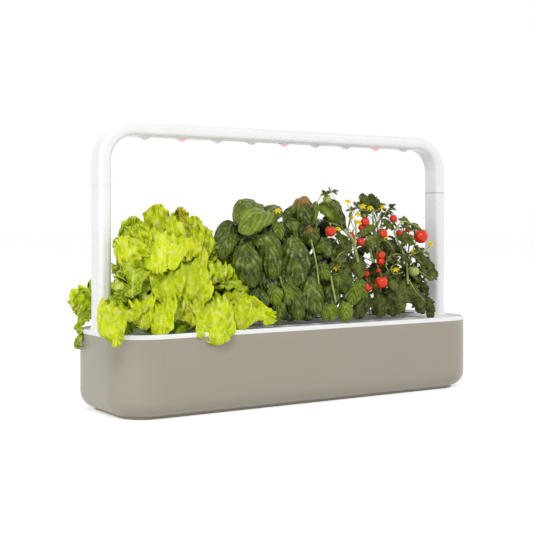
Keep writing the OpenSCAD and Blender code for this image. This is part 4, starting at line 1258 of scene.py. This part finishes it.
@dataclass
class Plant:
    """A plant in one pod. The classes for the three kinds say how its leaves stand."""

    pod: int
    tall: float = 0.0
    seed: int = 1
    foliage: Foliage = field(default_factory=Foliage)
    stalks: Stalks = field(default_factory=Stalks)

    # Where the kind's random draws start
    CHANCE: ClassVar[int] = 0

    @property
    def name(self) -> str:
        """The plant's name."""
        return plant_name(self.pod)

    @property
    def body(self) -> str:
        """The name of the body that the plant rides on."""
        return "pod_" + self.name

    @property
    def crown(self) -> np.ndarray:
        """The place on the plug where the plant starts."""
        return np.array((pod_x(self.pod), 0.0, CROWN_Z))

    def rng(self) -> np.random.Generator:
        """Returns the source of this plant's variation."""
        return np.random.default_rng(self.CHANCE + self.pod)

    def own(self, rows: Sequence[tuple]) -> list[list]:
        """Returns what follows this plant's pod in the rows of a table."""
        return [rest for pod, *rest in rows if pod == self.pod]

    def rooted(self, points: list[np.ndarray]) -> list[np.ndarray]:
        """Joins a leaf of the table to the plant, and returns the places that it passes."""
        return points

    def listed(self, table: Sequence[Leaf], cut: Cut) -> None:
        """Adds the plant's leaves of a table.

        Args:
            table: rows for all plants of the kind.
            cut: the leaves' outline and relief.
        """
        for leaf in table:
            if leaf.pod == self.pod:
                self.blade(leaf, self.rooted(leaf.points()), cut)

    def blade(
        self, leaf: Leaf, points: Sequence[np.ndarray], cut: Cut, face: np.ndarray = TO_VIEWER
    ) -> None:
        """Adds a blade.

        Args:
            leaf: its width and colours.
            points: the places that its midrib passes.
            cut: its outline and relief.
            face: where its upper face looks.
        """
        self.seed += 1
        seed = self.pod * 1000 + self.seed
        line = Line(points)
        self.foliage.add(
            Blade(line, leaf.width, cut, face, leaf.tone, leaf.stain, seed, leaf.twist)
        )

    def stem(self, side: Place, top: Place, thick: Span) -> None:
        """Adds a main stem.

        Args:
            side: the place that it passes halfway, from the crown.
            top: the place where it ends, from the crown.
            thick: its thickness at the foot and at the top.
        """
        self.stalks.add([self.crown - (0, 0, 2), self.crown + side, self.crown + top], *thick)

    def finish(self, skin: Material, stem: Material, cut: Cut, *more: str) -> None:
        """Makes the plant's pieces.

        Args:
            skin: the leaves' material.
            stem: the stems' material.
            cut: the leaves' cut, for their thickness.
            *more: CAD nodes that the leaves replace beside the plant's own.
        """
        for thick, path in self.own(TWIGS):
            self.stalks.add([VIEW.spot(*p) for p in path], thick, thick * 0.8, 4 * len(path))
        slot = self.name.split("_")[0] + "_leaf"
        nodes = [self.name, *more]
        leaves = show(
            self.name + "_leaves", self.foliage.mesh(self.name), skin, self.body, nodes
        )
        thicken(leaves, cut.thickness_mm)
        stems = self.name + "_stems"
        show(stems, self.stalks.mesh(stems), stem, self.body)


@dataclass(frozen=True)
class Ring:
    """Filling leaves round a lettuce's crown, with ranges in degrees and millimetres."""

    count: int
    way: Span
    reach: Span
    height: Span
    drop: float


@dataclass
class Lettuce(Plant):
    """A leaf lettuce: broad frilled leaves from one crown, the outer ones over the tray's edge."""

    rings: tuple[Ring, ...] = (
        Ring(8, (8, 172), (44, 64), (70, 150), 0.5),
        Ring(5, (205, 335), (18, 32), (95, 138), 0.15),
        Ring(7, (192, 348), (44, 70), (24, 52), 0.7),
    )
    ribs: int = 6
    rib_thick: Span = (9, 4)
    # Reach and rise at which a leaf leaves the crown
    base: Span = (8, 4)
    leaf_width: Span = (46, 60)
    leaf_tone: Span = (0.25, 0.8)

    CHANCE: ClassVar[int] = 40

    def build(self, skin: Material, stem: Material) -> None:
        """Makes the lettuce.

        Args:
            skin: the leaves' material.
            stem: the ribs' material.
        """
        rng = self.rng()
        self.listed(LETTUCE_LEAVES, LETTUCE_CUT)
        for ring in self.rings:
            for k in range(ring.count):
                self.filler(ring, k, rng)
        for k in range(self.ribs):
            rib = arc(self.crown, level(k * 360 / self.ribs), (0, -1), (5, 12), (9, 26))
            self.stalks.add(rib, *self.rib_thick)
        outer = ("lettuce_1_front_leaf", "lettuce_1_back_leaf") if self.pod == 0 else ()
        self.finish(skin, stem, LETTUCE_CUT, *outer)

    def rooted(self, points: list[np.ndarray]) -> list[np.ndarray]:
        """Starts a leaf beside the crown, and returns the places that it passes."""
        return [*arc(self.crown, unit(points[0] - self.crown), self.base), *points]

    def filler(self, ring: Ring, number: int, rng: np.random.Generator) -> None:
        """Adds one leaf of a ring.

        Args:
            ring: where such leaves stand.
            number: its number in the ring, which spreads the ring's leaves evenly.
            rng: the source of its variation.
        """
        low, high = ring.way
        way = low + (high - low) * (number + rng.uniform(0.1, 0.9)) / ring.count
        out = level(way, CROWDED)
        reach, height = rng.uniform(*ring.reach), rng.uniform(*ring.height)
        end = height * (1 - ring.drop * rng.uniform(0, 1))
        steps = (self.base, (reach * 0.55, height * 0.85), (reach * 1.05, end))
        leaf = Leaf(self.pod, rng.uniform(*self.leaf_width), rng.uniform(*self.leaf_tone))
        self.blade(leaf, arc(self.crown, out, *steps), LETTUCE_CUT, out + (0, 0, 0.6))


@dataclass
class Basil(Plant):
    """A basil: a leafy stem with domed glossy leaves that hang from it."""

    leans: tuple[float, ...] = (-9.0, 8.0)
    stem_thick: Span = (4.2, 2.6)
    stalk_thick: Span = (2.4, 1.6)
    fill_back: int = 12
    fill_front: int = 4
    fill_length: Span = (38, 58)
    # The filling leaves take low tones, partly painted shade behind and between the listed leaves
    fill_tone: Span = (0.0, 0.3)

    CHANCE: ClassVar[int] = 70

    def build(self, skin: Material, stem: Material) -> None:
        """Makes the basil.

        Args:
            skin: the leaves' material.
            stem: the stems' material.
        """
        rng = self.rng()
        for lean in self.leans:
            side = (lean * 0.6, lean * 0.4, self.tall * 0.45)
            self.stem(side, (lean * 1.4, lean, self.tall - 12), self.stem_thick)
        self.listed(BASIL_LEAVES, BASIL_CUT)
        for k in range(self.fill_back + self.fill_front):
            way = rng.uniform(5, 175) if k < self.fill_back else rng.uniform(200, 340)
            self.filler(level(way, CROWDED), rng)
        self.finish(skin, stem, BASIL_CUT)

    def filler(self, out: np.ndarray, rng: np.random.Generator) -> None:
        """Adds a leaf that fills the plant.

        Args:
            out: the level direction in which it grows.
            rng: the source of its variation.
        """
        z = rng.uniform(0.3, 0.95) * self.tall
        long = rng.uniform(*self.fill_length)
        foot = self.crown + out * rng.uniform(10, 22) + (0, 0, z)
        steps = ((0, 0), (long * 0.45, long * 0.12), (long * 0.72, long * -0.4))
        leaf = Leaf(self.pod, long * 0.75, rng.uniform(*self.fill_tone))
        self.blade(leaf, self.rooted(arc(foot, out, *steps)), BASIL_CUT, out + (0, 0, 0.8))

    def rooted(self, points: list[np.ndarray]) -> list[np.ndarray]:
        """Adds the stalk that carries a leaf.

        Args:
            points: the places that the leaf passes.

        Returns:
            The same places.
        """
        foot = points[0]
        z = min(max(CROWN_Z + 8, foot[2] - 22), CROWN_Z + self.tall - 14)
        start = np.array((pod_x(self.pod), 0.0, z))
        middle = start * 0.45 + foot * 0.55 + (0, 0, 5)
        self.stalks.add([start, middle, foot], *self.stalk_thick)
        return points


@dataclass
class Tomato(Plant):
    """A dwarf tomato: cut leaves, trusses of small fruits, and yellow flowers."""

    # Directions between which the filling leaves stand, in degrees
    spread: Span = (5.0, 345.0)
    leans: tuple[float, ...] = (-12.0, 4.0, 14.0)
    stem_thick: Span = (4.6, 2.2)
    stalk_thick: float = 1.8
    rib_thick: Span = (2.0, 1.0)
    fill_back: int = 11
    fill_front: int = 5
    fill_length: Span = (46, 66)
    fill_tone: Span = (0.05, 0.4)
    sprig_leaves: int = 6
    sprig_length: Span = (8, 14)
    sprig_width: Span = (5, 8)
    sprig_tone: Span = (0.4, 1.0)
    sepals: int = 5
    fruit_ribs: int = 5

    CHANCE: ClassVar[int] = 90

    def build(self, skin: Material, stem: Material, fruit: Material) -> None:
        """Makes the tomato plant with its fruits.

        Args:
            skin: the leaves' material.
            stem: the stems' material.
            fruit: the fruits' material.
        """
        rng = self.rng()
        for lean in self.leans:
            top = (lean * 1.5, -12 + lean * 0.4, self.tall - 10 - abs(lean))
            self.stem((lean * 0.5, -4, self.tall * 0.5), top, self.stem_thick)
        self.listed(TOMATO_LEAVES, TOMATO_CUT)
        low, high = self.spread
        for k in range(self.fill_back + self.fill_front):
            way = rng.uniform(low, 175) if k < self.fill_back else rng.uniform(195, high)
            rise = rng.uniform(0.2, 0.92) * self.tall
            self.compound(level(way, CROWDED), rise, rng.uniform(*self.fill_length), rng)
        for spot in self.own(SPRIGS):
            self.sprig(VIEW.spot(*spot), rng)
        self.fruit(fruit)
        self.finish(skin, stem, TOMATO_CUT)

    def rooted(self, points: list[np.ndarray]) -> list[np.ndarray]:
        """Adds the stalk that carries a leaf, and returns the places that the leaf passes."""
        self.hang(points[0], self.stalk_thick)
        return points

    def compound(self, out: np.ndarray, z: float, long: float, rng: np.random.Generator) -> None:
        """Adds a leaf of five leaflets on a drooping rib.

        Args:
            out: the level direction in which it grows.
            z: its height above the crown.
            long: its length.
            rng: the source of its variation.
        """
        start = self.crown + (0, -2, z * 0.9)
        rib = Line(arc(start, out, (0, 0), (long * 0.5, long * 0.18), (long, long * -0.12)))
        self.stalks.add(rib.at(np.array((0, 0.5, 1.0))), *self.rib_thick)
        across = np.cross(out, (0, 0, 1.0))
        tone = rng.uniform(*self.fill_tone)
        for share, side in ((0.45, -1), (0.5, 1), (0.75, -1), (0.8, 1), (1.0, 0)):
            foot = rib.at(np.array((share,)))[0]
            way = unit(out * (0.6 if side else 1.0) + across * side)
            size = long * (0.36 if side else 0.5)
            points = arc(foot, way, (0, 0), (size * 0.5, 2), (size, size * -0.45))
            self.blade(Leaf(self.pod, size * 0.75, tone), points, LEAFLET_CUT, way + (0, 0, 0.9))

    def sprig(self, middle: np.ndarray, rng: np.random.Generator) -> None:
        """Adds a tuft of young leaflets with its thin stalk.

        Args:
            middle: the place where they meet.
            rng: the source of its variation.
        """
        self.hang(middle, 1.2)
        for _ in range(self.sprig_leaves):
            way = unit(np.array((rng.uniform(-1, 1), rng.uniform(-1, 0.2), rng.uniform(-0.5, 1))))
            long = rng.uniform(*self.sprig_length)
            points = arc(middle, way, (0, 0), (long * 0.5, 1.5), (long, -2))
            leaf = Leaf(self.pod, rng.uniform(*self.sprig_width), rng.uniform(*self.sprig_tone))
            self.blade(leaf, points, SPRIG_CUT)

    def hang(self, foot: np.ndarray, thick: float) -> None:
        """Adds the stalk that carries a leaf or a truss.

        Args:
            foot: the place where it ends.
            thick: its thickness at the stem.
        """
        z = min(max(CROWN_Z + 10, foot[2] - 18), CROWN_Z + self.tall - 16)
        start = np.array((pod_x(self.pod), -4.0, z))
        middle = start * 0.5 + foot * 0.5 + (0, 0, 6)
        self.stalks.add([start, middle, foot], thick, thick * 0.5)

    def fruit(self, finish: Material) -> None:
        """Makes the plant's fruits as one piece, with their stalks and sepals.

        Args:
            finish: the fruits' material.
        """
        bm = bmesh.new()
        tone = bm.verts.layers.float.new("tone")
        for *spot, radius_px, ripe in self.own(FRUITS):
            middle = VIEW.spot(*spot)
            radius = radius_px * VIEW.scale(middle)
            made = bmesh.ops.create_uvsphere(bm, u_segments=28, v_segments=18, radius=1.0)
            for vert in made["verts"]:
                x, y, z = vert.co
                dent = 1 - 0.12 * max(0.0, z) ** 12
                bulge = 1 + 0.012 * math.cos(self.fruit_ribs * math.atan2(y, x)) * (1 - z**2)
                form = Vector((x * bulge, y * bulge, z * 0.95 * dent))
                vert.co = Vector(middle * MM) + form * radius * MM
                vert[tone] = ripe
            self.truss(middle, radius)
        name = self.name + "_tomatoes"
        node = self.name + "_fruit"
        show(name, finish_mesh(bm, name), finish, self.body, [node])

    def truss(self, middle: np.ndarray, radius: float) -> None:
        """Adds a fruit's stalk and its sepals.

        Args:
            middle: the fruit's middle.
            radius: the fruit's radius.
        """
        top = middle + (0, 0, radius * 0.86)
        knee = top + (0, 4, 5)
        self.stalks.add([top - (0, 0, 1), top + (0, 1, 3), knee], 1.1, 1.4, 5)
        self.hang(knee, self.stalk_thick)
        steps = ((0, 0), (radius * 0.45, 0.6), (radius * 0.85, radius * -0.05))
        for k in range(self.sepals):
            out = level(k * 360 / self.sepals + 20)
            leaf = Leaf(self.pod, radius * 0.3, 0.5)
            self.blade(leaf, arc(top, out, *steps), SEPAL_CUT, out * 0.1 + (0, 0, 1))


@dataclass
class Flowers:
    """The yellow flowers of the plants, each with bent petals round a cone."""

    petals: int = 6
    petal_mm: float = 6.5
    cone_mm: float = 2.6

    def build(self, finish: Material) -> None:
        """Makes one piece for each plant that bears flowers.

        Args:
            finish: the petals' material.
        """
        for pod in sorted({row[0] for row in FLOWERS}):
            blooms = Foliage()
            for number, (owner, *spot) in enumerate(FLOWERS):
                if owner == pod:
                    self.flower(blooms, VIEW.spot(*spot), number)
            plant = plant_name(pod)
            name = plant + "_flowers"
            piece = show(name, blooms.mesh(name), finish, "pod_" + plant)
            thicken(piece, PETAL_CUT.thickness_mm)

    def flower(self, blooms: Foliage, middle: np.ndarray, seed: int) -> None:
        """Adds one flower.

        Args:
            blooms: the mesh that it goes into.
            middle: its middle.
            seed: picks its turn.
        """
        up = unit(TO_VIEWER + np.array((0.3 * math.sin(seed), 0, 0.2 * math.cos(seed))))
        right = unit(np.cross(up, (0, 0, 1.0)))
        over = np.cross(right, up)
        long = self.petal_mm
        for k in range(self.petals):
            way = math.radians(k * 360 / self.petals + 25 * seed)
            out = right * math.cos(way) + over * math.sin(way)
            line = Line([middle, middle + out * long * 0.5 + up, middle + out * long - up * 1.5])
            blooms.add(Blade(line, long * 0.5, PETAL_CUT, up, tone=0.8))
        line = Line([middle - up, middle + up * 2, middle + up * 4.5])
        for side in (right, -right):
            blooms.add(Blade(line, self.cone_mm, CONE_CUT, side, tone=0.1))


# ---- Solids ----


@dataclass(frozen=True)
class Housing:
    """The solids of the tank, the tray and the lamp, and the finish of each."""

    finishes: tuple[tuple[str, Moulded | Glass | Peat], ...] = (
        ("water_tank", TAUPE),
        ("anti_slip_pads", RUBBER),
        ("grow_tray", DECK),
        ("gauge_cage", WHITE),
        ("gauge_cap", WHITE),
        ("level_float", FOAM),
        ("level_stem", BLUE),
        ("left_arm", WHITE),
        ("right_arm", WHITE),
        ("lamp_housing", WHITE),
        ("lamp_cover", COVER),
        ("lens_bezels", BEZEL),
        ("clear_lenses", CLEAR_LENS),
        ("red_lenses", RED_LENS),
        ("led_board", WHITE_BOARD),
        ("leds", CHIP),
        ("heat_sink", ALUMINIUM),
        ("driver_board", BOARD),
        ("tact_switch", BLACK),
        ("cover_screws", STEEL),
        ("dc_inlet", BLACK),
        ("power_lead", LEAD),
        ("light_button", WHITE),
        ("switch_plunger", STEEL),
    )

    def dress(self) -> None:
        """Gives each solid its finish."""
        made: dict[str, Material] = {}
        parts = (("_cup", CUP), ("_plug", PEAT))
        pods = [(plant_name(pod) + end, skin) for pod in range(9) for end, skin in parts]
        for node, skin in (*self.finishes, *pods):
            if skin.name not in made:
                made[skin.name] = skin.material()
            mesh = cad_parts[node].data
            mesh.materials.clear()
            mesh.materials.append(made[skin.name])
            LOG.info("%s has the finish %s", node, skin.name)


@dataclass(frozen=True)
class Seams:
    """Thin grey bands of painted shadow where the lamp's legs meet the arms, with their heights and
    shades.
    """

    lines: tuple[tuple[str, float, Moulded], ...] = (
        ("left_arm", 0.25, FAINT_SEAM),
        ("right_arm", 0.8, SEAM),
    )
    # A slice is taken this far below the arm's top, then lifted and let stand out by this much
    below_mm: float = 0.45
    rise_mm: float = 0.25
    proud_mm: float = 0.08
    thickness_mm: float = 0.2

    def build(self) -> None:
        """Makes a band of painted shadow round each arm, from a slice of its wall."""
        for arm, tall, shadow in self.lines:
            low, high = (Vector(corner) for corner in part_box(arm))
            top = high.z - self.below_mm * MM
            bm = bmesh.new()
            bm.from_mesh(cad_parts[arm].data)
            bmesh.ops.remove_doubles(bm, verts=bm.verts, dist=0.01 * MM)
            for z, above in ((top, True), (top - tall * MM, False)):
                bmesh.ops.bisect_plane(
                    bm,
                    geom=[*bm.verts, *bm.edges, *bm.faces],
                    plane_co=(0, 0, z),
                    plane_no=(0, 0, 1),
                    clear_outer=above,
                    clear_inner=not above,
                )
            bm.normal_update()
            middle = (low + high) / 2
            inner = [
                face
                for face in bm.faces
                if (face.calc_center_median() - middle).xy.dot(face.normal.xy) <= 0
            ]
            bmesh.ops.delete(bm, geom=inner, context="FACES")
            bm.normal_update()
            for vert in bm.verts:
                vert.co += vert.normal * self.proud_mm * MM + Vector((0, 0, self.rise_mm * MM))
            name = arm + "_seam"
            band = show(name, finish_mesh(bm, name), shadow.material(), arm)
            thicken(band, self.thickness_mm)


# ---- Studio ----


@dataclass(frozen=True)
class Softbox:
    """A soft light that looks at the garden. tall is its height as a multiple of its width."""

    name: str
    place: Place
    size: float
    power: float
    tall: float = 1.0
    aim: Place = (0.0, 0.0, 0.18)

    def build(self) -> None:
        """Makes the light."""
        data = bpy.data.lights.new(self.name, "AREA")
        data.shape = "RECTANGLE"
        data.size, data.size_y, data.energy = self.size, self.size * self.tall, self.power
        lamp = put(self.name, data)
        lamp.location = self.place
        way = Vector(self.aim) - Vector(self.place)
        lamp.rotation_euler = way.to_track_quat("-Z", "Y").to_euler()


@dataclass(frozen=True)
class Studio:
    """Camera, floor, world and lights."""

    sky: float = 0.52
    floor_size: float = 60.0
    paper: Colour = (0.9, 0.9, 0.9)
    paper_shine: float = 0.5
    lights: tuple[Softbox, ...] = (
        Softbox("key_softbox", (-1.2, -2.0, 2.0), 0.8, 29.5),
        Softbox("fill_softbox", (2.0, -1.4, 1.4), 1.6, 11.5),
        Softbox("back_softbox", (0.3, 1.8, 2.2), 1.6, 12.0),
        Softbox("side_softbox", (-2.3, -0.3, 1.0), 1.2, 9.5),
        Softbox("strip", (-1.6, -1.5, 0.35), 0.2, 2.0, 4.0),
    )

    def build(self) -> None:
        """Makes the studio."""
        self.camera()
        self.world()
        self.floor()
        for light in self.lights:
            light.build()
        bpy.context.scene.view_settings.view_transform = "Standard"

    def camera(self) -> None:
        """Makes the camera at the viewpoint."""
        data = bpy.data.cameras.new("camera")
        data.sensor_width = VIEW.sensor_mm
        data.lens = VIEW.focal_px / VIEW.frame_px * VIEW.sensor_mm
        data.shift_y = (VIEW.horizon_px - VIEW.frame_px / 2) / VIEW.frame_px
        camera = put("camera", data)
        camera.location = Vector(VIEW.place_mm) * MM
        camera.rotation_euler = (math.radians(90), 0, -math.radians(VIEW.turn))
        bpy.context.scene.camera = camera

    def world(self) -> None:
        """Makes the world white to the eye and plain as a light."""
        world = bpy.data.worlds.new("studio")
        bpy.context.scene.world = world
        world.use_nodes = True
        tree = world.node_tree
        path = tree.nodes.new("ShaderNodeLightPath")
        seen = self.seen(tree, path)
        strength = tree.nodes.new("ShaderNodeMapRange")
        tree.links.new(seen, strength.inputs[0])
        strength.inputs[3].default_value = self.sky
        strength.inputs[4].default_value = 1.0
        back = tree.nodes["Background"]
        back.inputs[0].default_value = (1, 1, 1, 1)
        tree.links.new(strength.outputs[0], back.inputs[1])

    @staticmethod
    def seen(tree: NodeTree, path: Node) -> NodeSocket:
        """Finds the rays that show the background, directly, in gloss or through glass.

        Args:
            tree: the tree that the nodes go into.
            path: its Light Path node.

        Returns:
            1 for such rays and 0 for others.
        """
        seen = path.outputs["Is Camera Ray"]
        for kind in ("Is Glossy Ray", "Is Transmission Ray"):
            both = tree.nodes.new("ShaderNodeMath")
            both.operation = "MAXIMUM"
            tree.links.new(seen, both.inputs[0])
            tree.links.new(path.outputs[kind], both.inputs[1])
            seen = both.outputs[0]
        return seen

    def floor(self) -> None:
        """Makes the pale floor, which keeps the object's shadow."""
        bm = bmesh.new()
        bmesh.ops.create_grid(bm, x_segments=2, y_segments=2, size=self.floor_size)
        floor = put("floor", finish_mesh(bm, "floor"))
        g = Graph("floor_paper")
        g.surface(Base_Color=self.paper, Roughness=0.9, Specular_IOR_Level=0.1)
        seen = self.seen(g.tree, g.add("LightPath"))
        g.surface(Emission_Color=(1, 1, 1), Emission_Strength=g.times(seen, self.paper_shine))
        floor.data.materials.append(g.material)


def main() -> None:
    """Builds the studio, the solids' finishes and the nine plants."""
    logging.basicConfig(level=logging.INFO, format="%(name)s: %(message)s")
    Studio().build()
    Housing().dress()
    Seams().build()
    lettuce = (LETTUCE_SKIN.material(), LETTUCE_STEM.material())
    for pod in (0, 1, 2):
        Lettuce(pod).build(*lettuce)
    basil = (BASIL_SKIN.material(), BASIL_STEM.material())
    for plant in (Basil(3, tall=158.0), Basil(4, tall=160.0), Basil(5, tall=150.0)):
        plant.build(*basil)
    tomato = (TOMATO_SKIN.material(), TOMATO_STEM.material(), FRUIT.material())
    last = Tomato(8, tall=142.0, spread=(70.0, 280.0))
    for plant in (Tomato(6, tall=150.0), Tomato(7, tall=176.0), last):
        plant.build(*tomato)
    Flowers().build(PETAL.material())


if __name__ == "__main__":
    main()
